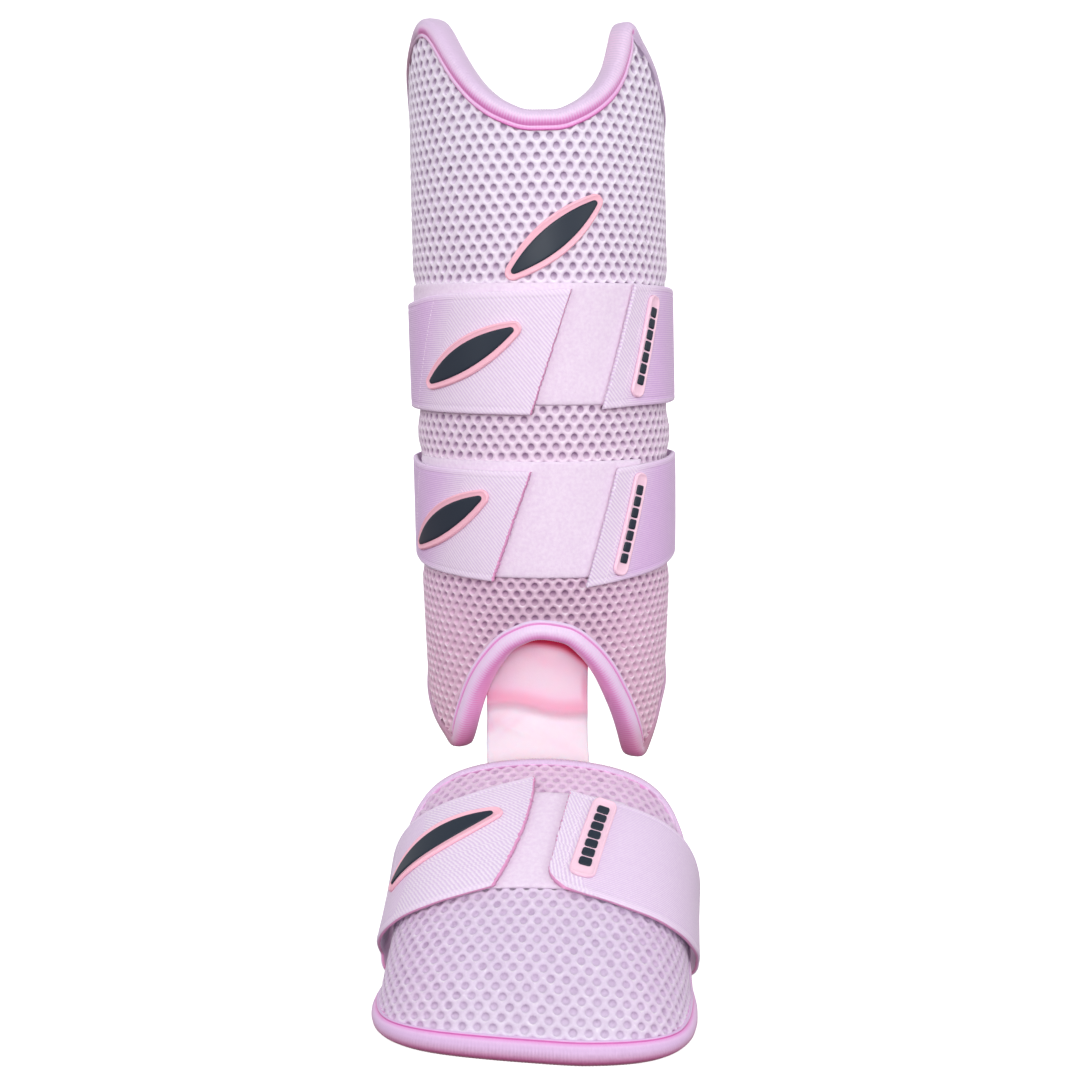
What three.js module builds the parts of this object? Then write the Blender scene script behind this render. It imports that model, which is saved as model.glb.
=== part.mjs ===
import * as THREE from "three";

// A batter's leg guard: a padded shin panel, a soft tongue, a padded foot panel and three elastic straps.
// Sizes are millimetres and angles are degrees.
// The origin is on the axis of the leg, at mid height of the shin panel.
// The guard faces -y, and +x is on the right when it is seen from the front.

// Sizes shared by both panels
const GAP = 0.35;
const PANEL_THICKNESS = 7;
const PATCH_THICKNESS = 1.2;
const STRAP_THICKNESS = 1.8;
const BADGE_THICKNESS = 1.2;
const INLAY_THICKNESS = 0.5;

// The shin panel wraps the front of the leg as far as this angle on each side.
const SHIN_WRAP = 102;
const LEG_BACK_DEPTH = 50;
const SHIN_COLUMNS = 40;
const SHIN_ROWS = 8;

// Cross-sections of the shin panel's outer face: it narrows and leans a little towards the ankle.
const SHIN_SECTIONS = [
  { height: -160, half_width: 51.0, depth: 55.5, shift: 3.1 },
  { height: -60, half_width: 54.8, depth: 59.0, shift: 2.4 },
  { height: 40, half_width: 55.2, depth: 60.5, shift: 0.2 },
  { height: 160, half_width: 54.6, depth: 60.0, shift: -2.4 },
];

// Upper edge of the shin panel: a deep scoop below the knee between two ears.
const SHIN_TOP = [
  { angle: -102, height: 94 },
  { angle: -98, height: 112 },
  { angle: -92, height: 126 },
  { angle: -80, height: 138 },
  { angle: -72, height: 143.5 },
  { angle: -64, height: 149 },
  { angle: -57, height: 151.2 },
  { angle: -52, height: 150.2 },
  { angle: -47, height: 146.5 },
  { angle: -40.5, height: 138.8 },
  { angle: -32, height: 128.6 },
  { angle: -23.5, height: 120.5 },
  { angle: -14, height: 114.6 },
  { angle: -3, height: 111.2 },
  { angle: 8, height: 111.4 },
  { angle: 16, height: 114 },
  { angle: 23.5, height: 118 },
  { angle: 30.5, height: 123.5 },
  { angle: 36, height: 130.5 },
  { angle: 40, height: 139.5 },
  { angle: 42.5, height: 146 },
  { angle: 45, height: 148.8 },
  { angle: 48, height: 147.2 },
  { angle: 51.5, height: 143.4 },
  { angle: 58, height: 138 },
  { angle: 66, height: 131.5 },
  { angle: 74, height: 123.8 },
  { angle: 86, height: 115.8 },
  { angle: 94, height: 110 },
  { angle: 98, height: 104 },
  { angle: 102, height: 88 },
];

// Lower edge of the shin panel: an arch over the instep between two points.
const SHIN_BOTTOM = [
  { angle: -102, height: -110 },
  { angle: -98, height: -122 },
  { angle: -92, height: -128.8 },
  { angle: -80, height: -135.8 },
  { angle: -69, height: -141.8 },
  { angle: -57, height: -147.8 },
  { angle: -52, height: -150.8 },
  { angle: -49.5, height: -150.8 },
  { angle: -46.5, height: -147.4 },
  { angle: -41, height: -137 },
  { angle: -33.5, height: -123.8 },
  { angle: -25, height: -113.3 },
  { angle: -15.5, height: -105 },
  { angle: -3, height: -100.8 },
  { angle: 8, height: -102.4 },
  { angle: 18, height: -109 },
  { angle: 27, height: -118.4 },
  { angle: 33.8, height: -128 },
  { angle: 40, height: -137.5 },
  { angle: 44.8, height: -146 },
  { angle: 47.8, height: -151.8 },
  { angle: 50.6, height: -155.4 },
  { angle: 53.4, height: -155.4 },
  { angle: 59, height: -151 },
  { angle: 67, height: -142.6 },
  { angle: 74, height: -134.8 },
  { angle: 86, height: -128.8 },
  { angle: 94, height: -124 },
  { angle: 98, height: -117 },
  { angle: 102, height: -104 },
];

// The foot panel is an arch carried down a slope that steepens towards the toes.
const FOOT_WRAP = 96;
const FOOT_RISE = 50;
const FOOT_ANKLE = { x: 2.2, y: -62, z: -152 };
const FOOT_TURN = -4;
const FOOT_RIM_HEIGHT = -237.5;
const FOOT_COLUMNS = 30;
const FOOT_ROWS = 10;

// Slope of the foot panel's centre line, and half width and squareness of its arch, by distance down.
const FOOT_PROFILE = [
  { down: -20, slope: 13, half_width: 60.2, square: 0.035 },
  { down: 0, slope: 18, half_width: 60.2, square: 0.035 },
  { down: 25, slope: 26, half_width: 59.7, square: 0.036 },
  { down: 50, slope: 33, half_width: 59.3, square: 0.038 },
  { down: 75, slope: 37, half_width: 59.6, square: 0.042 },
  { down: 100, slope: 42, half_width: 61.0, square: 0.052 },
  { down: 120, slope: 52, half_width: 62.0, square: 0.061 },
  { down: 140, slope: 68, half_width: 62.2, square: 0.065 },
  { down: 160, slope: 80, half_width: 62.2, square: 0.065 },
];

// The toe reaches further forward on the right and is cut back on the left: how far, by distance across.
const TOE_LEAD = [
  { across: -66, reach: -4.6 },
  { across: -50, reach: -3.6 },
  { across: -36, reach: -2.2 },
  { across: -20, reach: -0.7 },
  { across: 0, reach: 1.6 },
  { across: 25, reach: 4.6 },
  { across: 66, reach: 5 },
];

// Distances down the foot over which the toe's lead grows.
const TOE_GROWTH = { from: 80, to: 130 };

// Ankle edge of the foot panel: distance down from the ankle, by angle from the middle.
const FOOT_ANKLE_EDGE = [
  { angle: 0, down: 2.2 },
  { angle: 30, down: 2.8 },
  { angle: 42, down: 4.2 },
  { angle: 52, down: 7.5 },
  { angle: 62, down: 13 },
  { angle: 74, down: 21 },
  { angle: 86, down: 32 },
  { angle: 92, down: 40 },
  { angle: 96, down: 51 },
];

// Breadth of the edge binding: full in the scoop and the arch, narrow down the sides of the shin panel,
// narrow at the foot panel's ankle and broad round its toe.
const SHIN_BREADTH = [
  { angle: -102, upper: 0.3, lower: 0.25 },
  { angle: -72, upper: 0.3, lower: 0.25 },
  { angle: -60, upper: 0.8, lower: 0.25 },
  { angle: -52, upper: 1, lower: 0.6 },
  { angle: -44, upper: 1, lower: 1 },
  { angle: 42, upper: 1, lower: 1 },
  { angle: 48, upper: 0.7, lower: 1 },
  { angle: 54, upper: 0.25, lower: 0.6 },
  { angle: 60, upper: 0.25, lower: 0.25 },
  { angle: 102, upper: 0.25, lower: 0.25 },
];
const FOOT_BREADTH = [
  { down: 0, share: 0.5 },
  { down: 45, share: 0.5 },
  { down: 95, share: 0.85 },
  { down: 112, share: 1.25 },
  { down: 150, share: 1.25 },
];

// Section of the edge binding: distance in from the panel's edge, and out from its outer face.
const LIP = 6.2;
const TIGHTEST_TURN = 1.6;
const BINDING_SECTION = [
  { into: LIP, out: GAP },
  { into: LIP, out: 1.05 },
  { into: 5.0, out: 1.25 },
  { into: 4.3, out: 0.9 },
  { into: 3.4, out: 1.7 },
  { into: 1.0, out: 2.1 },
  { into: -1.4, out: 0.6 },
  { into: -2.2, out: -PANEL_THICKNESS / 2 },
  { into: -1.4, out: -PANEL_THICKNESS - 0.6 },
  { into: 1.0, out: -PANEL_THICKNESS - 1.6 },
  { into: 5.0, out: -PANEL_THICKNESS - 1.1 },
  { into: 5.0, out: -PANEL_THICKNESS - GAP },
  { into: -GAP, out: -PANEL_THICKNESS - GAP },
  { into: -GAP, out: GAP },
];

// Bands of loop fabric sewn round the front of the shin panel, and one across the foot panel
const PATCH_COLUMNS = 16;
const FOOT_PATCH_COLUMNS = 8;
const FOOT_PATCH_ROWS = 4;
const UPPER_PATCH = { from: -84, to: 50, bottom: -5.5, top: 44.2 };
const LOWER_PATCH = { from: -74, to: 46, bottom: -76.8, top: -28.6 };
const FOOT_PATCH = { from: -22, to: 30, upper: 25, lower: 75 };

// Height of a shin strap's inner face over the panel, by turn from the front: it rides over the side binding.
const STRAP_LIFT = [
  { turn: 0, out: 1.9 },
  { turn: 84, out: 1.9 },
  { turn: 95, out: 2.5 },
  { turn: 108, out: 2.5 },
  { turn: 140, out: 2.4 },
  { turn: 180, out: 2.2 },
];

// Shin straps, from the left end at the front, round the back, to the right end at the front.
const STRAP_COLUMNS = 38;
const STRAP_ROWS = 3;
const UPPER_STRAP = {
  left_end: { bottom: -5.5, top: 12 },
  right_end: { bottom: 24.8, top: 42 },
  edges: [
    { turn: -336, bottom: -7.3, top: 43.7 },
    { turn: -315, bottom: -6.2, top: 43.7 },
    { turn: -290, bottom: -5.8, top: 43.3 },
    { turn: -270, bottom: -5.5, top: 42.6 },
    { turn: -180, bottom: -7, top: 39.5 },
    { turn: -90, bottom: -8.4, top: 36.6 },
    { turn: -67, bottom: -8.6, top: 37.4 },
    { turn: -48, bottom: -9, top: 39.5 },
    { turn: -20, bottom: -9.3, top: 40.5 },
    { turn: 12, bottom: -9.5, top: 41.6 },
  ],
};
const LOWER_STRAP = {
  left_end: { bottom: -23, top: -6 },
  right_end: { bottom: 16.8, top: 31.6 },
  edges: [
    { turn: -344, bottom: -80.9, top: -32.2 },
    { turn: -328, bottom: -78.8, top: -31.6 },
    { turn: -312, bottom: -76.8, top: -30.3 },
    { turn: -284, bottom: -73.2, top: -28.6 },
    { turn: -270, bottom: -72.5, top: -28 },
    { turn: -180, bottom: -73, top: -28 },
    { turn: -90, bottom: -73.2, top: -29.6 },
    { turn: -68, bottom: -75, top: -31.6 },
    { turn: -42, bottom: -77.2, top: -32.3 },
    { turn: -6, bottom: -79.5, top: -32.6 },
  ],
};

// Foot strap: its two edges by angle over the panel, then a flat run under the sole.
const FOOT_STRAP_COLUMNS = 42;
const FOOT_STRAP_LIFT = { middle: 2.0, side: 3.2 };
const FOOT_STRAP_SIDE = 95;
const FOOT_STRAP_LEFT = [
  { angle: -95, upper: 18, lower: 67 },
  { angle: -72, upper: 24, lower: 77 },
  { angle: -58, upper: 26, lower: 80 },
  { angle: -41, upper: 27, lower: 81 },
  { angle: -28, upper: 26, lower: 79.5 },
  { angle: -17, upper: 23, lower: 77 },
  { angle: -3, upper: 18, lower: 73 },
];
const FOOT_STRAP_RIGHT = [
  { angle: 4, upper: 24, lower: 72.5 },
  { angle: 10, upper: 26, lower: 76 },
  { angle: 22, upper: 28.5, lower: 79.5 },
  { angle: 36, upper: 29, lower: 82 },
  { angle: 50, upper: 28, lower: 82.5 },
  { angle: 68, upper: 25, lower: 80 },
  { angle: 95, upper: 18, lower: 68 },
];
const FOOT_STRAP_ENDS = { left_upper: -3, left_lower: -13, left_bow: 3.2, right_upper: 10, right_lower: 4 };
const SOLE_RUN = { front: -86, back: -37, height: -238.9, square: 0.1 };

// Tongue: its front face down the middle, from inside the shin panel to under the foot panel.
// The bow is how far its side edges fall back.
const TONGUE_HALF_WIDTH = 21.6;
const TONGUE_THICKNESS = 2.4;
const TONGUE_COLUMNS = 5;
const TONGUE_ROWS = 22;
const TONGUE_PATH = [
  { run: 0, y: -51.3, z: -62, bow: 6.4, x: 0.2, bow_x: 1.6 },
  { run: 22, y: -50.4, z: -84, bow: 6.6, x: -0.2, bow_x: 2.0 },
  { run: 33, y: -48.8, z: -95, bow: 6.8, x: -0.5, bow_x: 2.3 },
  { run: 40, y: -48.1, z: -102, bow: 6.9, x: -0.7, bow_x: 2.3 },
  { run: 52, y: -47.1, z: -114, bow: 7.0, x: -1.0, bow_x: 2.3 },
  { run: 66, y: -47.2, z: -128, bow: 6.8, x: -1.2, bow_x: 2.0 },
  { run: 76, y: -48.2, z: -138, bow: 6.8, x: -1.2, bow_x: 1.4 },
  { run: 83, y: -50.6, z: -144.6, bow: 4.6, x: -1.2, bow_x: 1.2 },
  { run: 89, y: -53.4, z: -150, bow: 3.2, x: -1.0, bow_x: 1.6 },
  { run: 97, y: -55.4, z: -158.2, bow: 2.2, x: -0.6, bow_x: 3 },
  { run: 103, y: -60.2, z: -162.4, bow: 1.9, x: -0.2, bow_x: 4 },
  { run: 108, y: -65.2, z: -164, bow: 1.8, x: 0.6, bow_x: 4 },
  { run: 115, y: -72.2, z: -165.3, bow: 1.8, x: 0.6, bow_x: 3.6 },
  { run: 125.5, y: -81.9, z: -169.1, bow: 1.8, x: 0.4, bow_x: 2.8 },
  { run: 136, y: -91.2, z: -173.9, bow: 1.8, x: 0.2, bow_x: 2 },
];

// Badges are slanted lozenges and labels are slanted capsules; "turn" is the angle of their length.
const BADGE_STEPS = 8;
const BADGE = { length: 52, middle: 7.7, end: 2.2 };
const BADGE_INLAY = { length: 46, middle: 5.0, end: 0.9 };
const SHIN_BADGE = { angle: 6.5, height: 62.5, turn: 39 };
const UPPER_BADGE = { angle: -31, height: 14.5, turn: 29 };
const LOWER_BADGE = { angle: -46, height: -54.5, turn: 29 };
const FOOT_BADGE = { angle: -38, down: 49, turn: 23 };
const LABEL_STEPS = 6;
const LABEL = { length: 44, half: 3.5 };
const LABEL_BAR = { length: 34, half: 1.7 };
const FOOT_LABEL = { length: 42, half: 5 };
const FOOT_LABEL_BAR = { length: 33, half: 2.4 };
const UPPER_LABEL_PLACE = { angle: 46.8, height: 18.4, turn: 72.5 };
const LOWER_LABEL_PLACE = { angle: 37, height: -55.2, turn: 74 };
const FOOT_LABEL_PLACE = { angle: 18.5, down: 50.5, turn: 78 };

const COLOURS = {
  mesh: { color: 0xdcc4e0, roughness: 0.9 },
  binding: { color: 0xe9bfe6, roughness: 0.7 },
  elastic: { color: 0xd9b9e2, roughness: 0.85 },
  loop: { color: 0xf3d9ef, roughness: 0.95 },
  tongue: { color: 0xfbc9dc, roughness: 0.85 },
  badge: { color: 0xffb4c8, roughness: 0.5 },
  inlay: { color: 0x1d2630, roughness: 0.45 },
};

const RAD = Math.PI / 180;

// Smooth curve through one column of a table, without overshoot between rows.
function column(table, at, key) {
  const x = table.map((row) => row[at]);
  const y = table.map((row) => row[key]);
  const last = x.length - 1;
  const slope = [];
  for (let i = 0; i < last; i += 1) {
    slope.push((y[i + 1] - y[i]) / (x[i + 1] - x[i]));
  }
  const tangent = [slope[0]];
  for (let i = 1; i < last; i += 1) {
    const product = slope[i - 1] * slope[i];
    tangent.push(product > 0 ? (2 * product) / (slope[i - 1] + slope[i]) : 0);
  }
  tangent.push(slope[last - 1]);
  return (value) => {
    const here = Math.min(Math.max(value, x[0]), x[last]);
    let i = 0;
    while (i < last - 1 && here > x[i + 1]) {
      i += 1;
    }
    const step = x[i + 1] - x[i];
    const t = (here - x[i]) / step;
    const rise = t * t * (3 - 2 * t);
    const start = t * (1 - t) * (1 - t) * step * tangent[i];
    const stop = t * t * (t - 1) * step * tangent[i + 1];
    return y[i] + (y[i + 1] - y[i]) * rise + start + stop;
  };
}

function mix(from, to, share) {
  return from + (to - from) * share;
}

// Shin surface: a point by angle from the front, height, and distance out from the panel's outer face.
const shinHalfWidth = column(SHIN_SECTIONS, "height", "half_width");
const shinDepth = column(SHIN_SECTIONS, "height", "depth");
const shinShift = column(SHIN_SECTIONS, "height", "shift");

function shinPoint(angle, height, out) {
  const sine = Math.sin(angle * RAD);
  const cosine = Math.cos(angle * RAD);
  const wide = shinHalfWidth(height);
  const deep = cosine > 0 ? shinDepth(height) : LEG_BACK_DEPTH;
  const normal = new THREE.Vector3(sine / wide, -cosine / deep, 0).normalize();
  const point = new THREE.Vector3(shinShift(height) + wide * sine, -deep * cosine, height);
  return point.addScaledVector(normal, out);
}

function shinSpread(angle, height) {
  const sine = Math.sin(angle * RAD);
  const cosine = Math.cos(angle * RAD);
  return RAD * Math.hypot(shinHalfWidth(height) * cosine, shinDepth(height) * sine);
}

// Foot surface: a point by angle from the middle, distance down from the ankle, and distance out.
const footSlope = column(FOOT_PROFILE, "down", "slope");
const footHalfWidth = column(FOOT_PROFILE, "down", "half_width");
const footSquare = column(FOOT_PROFILE, "down", "square");
const CENTRE_STEP = 1;

function centreLine() {
  const first = FOOT_PROFILE[0].down;
  const last = FOOT_PROFILE[FOOT_PROFILE.length - 1].down;
  const rows = [{ down: first, y: 0, z: 0 }];
  for (let down = first; down < last; down += CENTRE_STEP) {
    const slope = footSlope(down + CENTRE_STEP / 2) * RAD;
    const before = rows[rows.length - 1];
    rows.push({
      down: down + CENTRE_STEP,
      y: before.y - CENTRE_STEP * Math.cos(slope),
      z: before.z - CENTRE_STEP * Math.sin(slope),
    });
  }
  const ankle = rows.find((row) => row.down === 0);
  return rows.map((row) => ({ down: row.down, y: row.y - ankle.y, z: row.z - ankle.z }));
}

const footRows = centreLine();
const footForward = column(footRows, "down", "y");
const footHeight = column(footRows, "down", "z");

function footSection(angle, down) {
  const square = footSquare(down);
  const wide = footHalfWidth(down);
  const t = angle * RAD;
  const across = wide * (Math.sin(t) + square * Math.sin(3 * t)) / (1 - square);
  const rise = FOOT_RISE * ((Math.cos(t) - square * Math.cos(3 * t)) / (1 - square) - 1);
  const run = wide * (Math.cos(t) + 3 * square * Math.cos(3 * t)) / (1 - square);
  const fall = FOOT_RISE * (3 * square * Math.sin(3 * t) - Math.sin(t)) / (1 - square);
  return { across, rise, run, fall };
}

const toeReach = column(TOE_LEAD, "across", "reach");

function toeLead(section, down) {
  return toeReach(section.across) * THREE.MathUtils.smoothstep(down, TOE_GROWTH.from, TOE_GROWTH.to);
}

function footPoint(angle, down, out) {
  const section = footSection(angle, down);
  const length = Math.hypot(section.run, section.fall);
  const across = section.across - out * section.fall / length;
  const rise = section.rise + out * section.run / length;
  const slope = footSlope(down) * RAD;
  const forward = footForward(down) - Math.sin(slope) * rise - toeLead(section, down);
  const up = footHeight(down) + Math.cos(slope) * rise;
  const turn = FOOT_TURN * RAD;
  return new THREE.Vector3(
    FOOT_ANKLE.x + across * Math.cos(turn) - forward * Math.sin(turn),
    FOOT_ANKLE.y + across * Math.sin(turn) + forward * Math.cos(turn),
    FOOT_ANKLE.z + up,
  );
}

function footSpread(angle, down) {
  const section = footSection(angle, down);
  return RAD * Math.hypot(section.run, section.fall);
}

// The foot panel's front edge is where its surface comes down to the rim height, found by halving a stretch.
const FRONT_EDGE_SEARCH = { near: 40, far: 150, halvings: 40 };

function footFrontEdge(angle) {
  let { near, far } = FRONT_EDGE_SEARCH;
  for (let i = 0; i < FRONT_EDGE_SEARCH.halvings; i += 1) {
    const middle = (near + far) / 2;
    if (footPoint(angle, middle, 0).z > FOOT_RIM_HEIGHT) {
      near = middle;
    } else {
      far = middle;
    }
  }
  return (near + far) / 2;
}

// Closed mesh from points and triangles, turned so that its faces look outwards.
function solid(points, triangles) {
  let volume = 0;
  for (const [a, b, c] of triangles) {
    const side = new THREE.Vector3().crossVectors(points[b], points[c]);
    volume += points[a].dot(side);
  }
  const facing = volume > 0 ? triangles : triangles.map(([a, b, c]) => [a, c, b]);
  const geometry = new THREE.BufferGeometry();
  const flat = points.flatMap((point) => [point.x, point.y, point.z]);
  geometry.setAttribute("position", new THREE.Float32BufferAttribute(flat, 3));
  geometry.setIndex(facing.flat());
  geometry.computeVertexNormals();
  return geometry;
}

// Slab between two offsets of a surface, over a grid of shares along its two directions.
function slab(place, columns, rows, low, high) {
  const points = [];
  const triangles = [];
  const wide = columns + 1;
  const layer = wide * (rows + 1);
  for (const out of [low, high]) {
    for (let j = 0; j <= rows; j += 1) {
      for (let i = 0; i <= columns; i += 1) {
        points.push(place(i / columns, j / rows, out));
      }
    }
  }
  const quad = (a, b, c, d) => triangles.push([a, b, c], [a, c, d]);
  for (let j = 0; j < rows; j += 1) {
    for (let i = 0; i < columns; i += 1) {
      const corner = j * wide + i;
      const next = corner + wide;
      quad(corner, next, next + 1, corner + 1);
      quad(corner + layer, corner + 1 + layer, next + 1 + layer, next + layer);
    }
  }
  const border = rim(columns, rows).map(([i, j]) => j * wide + i);
  border.forEach((from, k) => {
    const to = border[(k + 1) % border.length];
    quad(from, to, to + layer, from + layer);
  });
  return solid(points, triangles);
}

// Grid places round the border, once: along the first row, up, back along the last row, and down.
function rim(columns, rows) {
  const places = [];
  for (let i = 0; i < columns; i += 1) {
    places.push([i, 0]);
  }
  for (let j = 0; j < rows; j += 1) {
    places.push([columns, j]);
  }
  for (let i = columns; i > 0; i -= 1) {
    places.push([i, rows]);
  }
  for (let j = rows; j > 0; j -= 1) {
    places.push([0, j]);
  }
  return places;
}

// A panel is a surface with a lower and an upper edge by angle, measured along the surface.
const shinTop = column(SHIN_TOP, "angle", "height");
const shinBottom = column(SHIN_BOTTOM, "angle", "height");
const shinUpperBreadth = column(SHIN_BREADTH, "angle", "upper");
const shinLowerBreadth = column(SHIN_BREADTH, "angle", "lower");
const footBreadth = column(FOOT_BREADTH, "down", "share");
const footAnkleEdge = column(FOOT_ANKLE_EDGE, "angle", "down");

const shinShape = {
  wrap: SHIN_WRAP,
  columns: SHIN_COLUMNS,
  rows: SHIN_ROWS,
  point: shinPoint,
  spread: shinSpread,
  lower: shinBottom,
  upper: shinTop,
  breadth: (angle, height) => (height > 0 ? shinUpperBreadth(angle) : shinLowerBreadth(angle)),
};

const footShape = {
  wrap: FOOT_WRAP,
  columns: FOOT_COLUMNS,
  rows: FOOT_ROWS,
  point: (angle, along, out) => footPoint(angle, -along, out),
  spread: (angle, along) => footSpread(angle, -along),
  lower: (angle) => -footFrontEdge(angle),
  upper: (angle) => -footAnkleEdge(Math.abs(angle)),
  breadth: (angle, along) => footBreadth(-along),
};

// Rows of a panel gather towards its upper and lower edges.
function panelPlace(shape, s, t) {
  const angle = mix(-shape.wrap, shape.wrap, s);
  const share = (1 - Math.cos(Math.PI * t)) / 2;
  return { angle, along: mix(shape.lower(angle), shape.upper(angle), share) };
}

function panel(shape) {
  const place = (s, t, out) => {
    const at = panelPlace(shape, s, t);
    return shape.point(at.angle, at.along, out);
  };
  return slab(place, shape.columns, shape.rows, -PANEL_THICKNESS, 0);
}

// Stations of the binding along a panel's border, each with its inward direction on the surface.
// The lip is drawn in where the border turns tightly.
function bindingStations(shape) {
  const border = rim(shape.columns, shape.rows).map(([i, j]) => {
    return panelPlace(shape, i / shape.columns, j / shape.rows);
  });
  const count = border.length;
  const stations = border.map((here, k) => {
    const before = border[(k + count - 1) % count];
    const after = border[(k + 1) % count];
    const spread = shape.spread(here.angle, here.along);
    const came = new THREE.Vector2((here.angle - before.angle) * spread, here.along - before.along);
    const goes = new THREE.Vector2((after.angle - here.angle) * spread, after.along - here.along);
    const bend = Math.atan2(came.x * goes.y - came.y * goes.x, came.dot(goes));
    const radius = (came.length() + goes.length()) / 2 / Math.max(bend, 0.01);
    const heading = came.normalize().add(goes.normalize()).normalize();
    const inward = new THREE.Vector2(-heading.y, heading.x);
    const breadth = shape.breadth(here.angle, here.along);
    return { here, spread, inward, breadth, room: radius / (TIGHTEST_TURN * LIP * breadth) };
  });
  return stations.map((station, k) => {
    const rooms = [-1, 0, 1].map((step) => stations[(k + step + count) % count].room);
    const average = rooms.reduce((sum, room) => sum + Math.min(room, 1), 0) / rooms.length;
    return { ...station, lip: Math.min(1, average) };
  });
}

function binding(shape) {
  const stations = bindingStations(shape);
  const points = [];
  const triangles = [];
  const count = BINDING_SECTION.length;
  for (const { here, spread, inward, breadth, lip } of stations) {
    for (const row of BINDING_SECTION) {
      const into = row.into > 0 ? row.into * lip * breadth : row.into;
      const out = row.out > GAP ? mix(GAP, row.out, Math.min(1, breadth)) : row.out;
      const angle = here.angle + into * inward.x / spread;
      points.push(shape.point(angle, here.along + into * inward.y, out));
    }
  }
  for (let k = 0; k < stations.length; k += 1) {
    const near = k * count;
    const far = ((k + 1) % stations.length) * count;
    for (let m = 0; m < count; m += 1) {
      const next = (m + 1) % count;
      triangles.push([near + m, far + m, far + next], [near + m, far + next, near + next]);
    }
  }
  return solid(points, triangles);
}

// Slab about a skin given as a function of two shares; its normal comes from nearby points of the skin.
const NEARBY_SHARE = 0.002;

function slabOnSkin(skin, columns, rows, low, high) {
  const near = NEARBY_SHARE;
  const place = (s, t, out) => {
    const ahead = skin(Math.min(s + near, 1), t);
    const behind = skin(Math.max(s - near, 0), t);
    const above = skin(s, Math.min(t + near, 1));
    const below = skin(s, Math.max(t - near, 0));
    const normal = new THREE.Vector3().crossVectors(ahead.sub(behind), above.sub(below)).normalize();
    return skin(s, t).addScaledVector(normal, out);
  };
  return slab(place, columns, rows, low, high);
}

const strapLift = column(STRAP_LIFT, "turn", "out");

function turnFromFront(turn) {
  const whole = ((turn % 360) + 360) % 360;
  return Math.min(whole, 360 - whole);
}

function shinPatch(patch) {
  const place = (s, t, out) => {
    return shinPoint(mix(patch.from, patch.to, s), mix(patch.bottom, patch.top, t), out);
  };
  return slab(place, PATCH_COLUMNS, 1, GAP, GAP + PATCH_THICKNESS);
}

function footPatch(patch) {
  const place = (s, t, out) => {
    return footPoint(mix(patch.from, patch.to, s), mix(patch.lower, patch.upper, t), out);
  };
  return slab(place, FOOT_PATCH_COLUMNS, FOOT_PATCH_ROWS, GAP, GAP + PATCH_THICKNESS);
}

function shinStrap(strap) {
  const bottom = column(strap.edges, "turn", "bottom");
  const top = column(strap.edges, "turn", "top");
  const place = (s, t, out) => {
    const start = mix(strap.left_end.bottom, strap.left_end.top, t);
    const stop = mix(strap.right_end.bottom, strap.right_end.top, t) - 360;
    const turn = mix(start, stop, s);
    return shinPoint(turn, mix(bottom(turn), top(turn), t), strapLift(turnFromFront(turn)) + out);
  };
  return slab(place, STRAP_COLUMNS, STRAP_ROWS, 0, STRAP_THICKNESS);
}

// Foot strap: over the panel on each side, and a flat run with rounded corners under the sole.
function footStrapOver(table, angle, t) {
  const lower = column(table, "angle", "lower")(angle);
  const upper = column(table, "angle", "upper")(angle);
  const share = Math.min(Math.abs(angle) / FOOT_STRAP_SIDE, 1);
  const lift = mix(FOOT_STRAP_LIFT.middle, FOOT_STRAP_LIFT.side, share * share);
  return footPoint(angle, mix(lower, upper, t), lift + STRAP_THICKNESS / 2);
}

function footStrapUnder(share, t) {
  const left = footStrapOver(FOOT_STRAP_LEFT, -FOOT_STRAP_SIDE, t);
  const right = footStrapOver(FOOT_STRAP_RIGHT, FOOT_STRAP_SIDE, t);
  const middle = (left.x + right.x) / 2;
  const sole = new THREE.Vector3(middle, mix(SOLE_RUN.front, SOLE_RUN.back, t), SOLE_RUN.height);
  const turn = Math.PI * share;
  const side = (Math.cos(turn) - SOLE_RUN.square * Math.cos(3 * turn)) / (1 - SOLE_RUN.square);
  const drop = (Math.sin(turn) + SOLE_RUN.square * Math.sin(3 * turn)) / (1 - SOLE_RUN.square);
  const from = side > 0 ? left : right;
  return new THREE.Vector3(
    mix(sole.x, from.x, Math.abs(side)),
    mix(from.y, sole.y, drop),
    mix(from.z, sole.z, drop),
  );
}

const FOOT_STRAP_OVER = 0.28;

function footStrap() {
  const overShare = FOOT_STRAP_OVER;
  const skin = (s, t) => {
    if (s < overShare) {
      const bow = 4 * FOOT_STRAP_ENDS.left_bow * t * (1 - t);
      const start = mix(FOOT_STRAP_ENDS.left_lower, FOOT_STRAP_ENDS.left_upper, t) + bow;
      return footStrapOver(FOOT_STRAP_LEFT, mix(start, -FOOT_STRAP_SIDE, s / overShare), t);
    }
    if (s > 1 - overShare) {
      const stop = mix(FOOT_STRAP_ENDS.right_lower, FOOT_STRAP_ENDS.right_upper, t);
      return footStrapOver(FOOT_STRAP_RIGHT, mix(stop, FOOT_STRAP_SIDE, (1 - s) / overShare), t);
    }
    return footStrapUnder((s - overShare) / (1 - 2 * overShare), t);
  };
  return slabOnSkin(skin, FOOT_STRAP_COLUMNS, STRAP_ROWS, -STRAP_THICKNESS / 2, STRAP_THICKNESS / 2);
}

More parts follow.
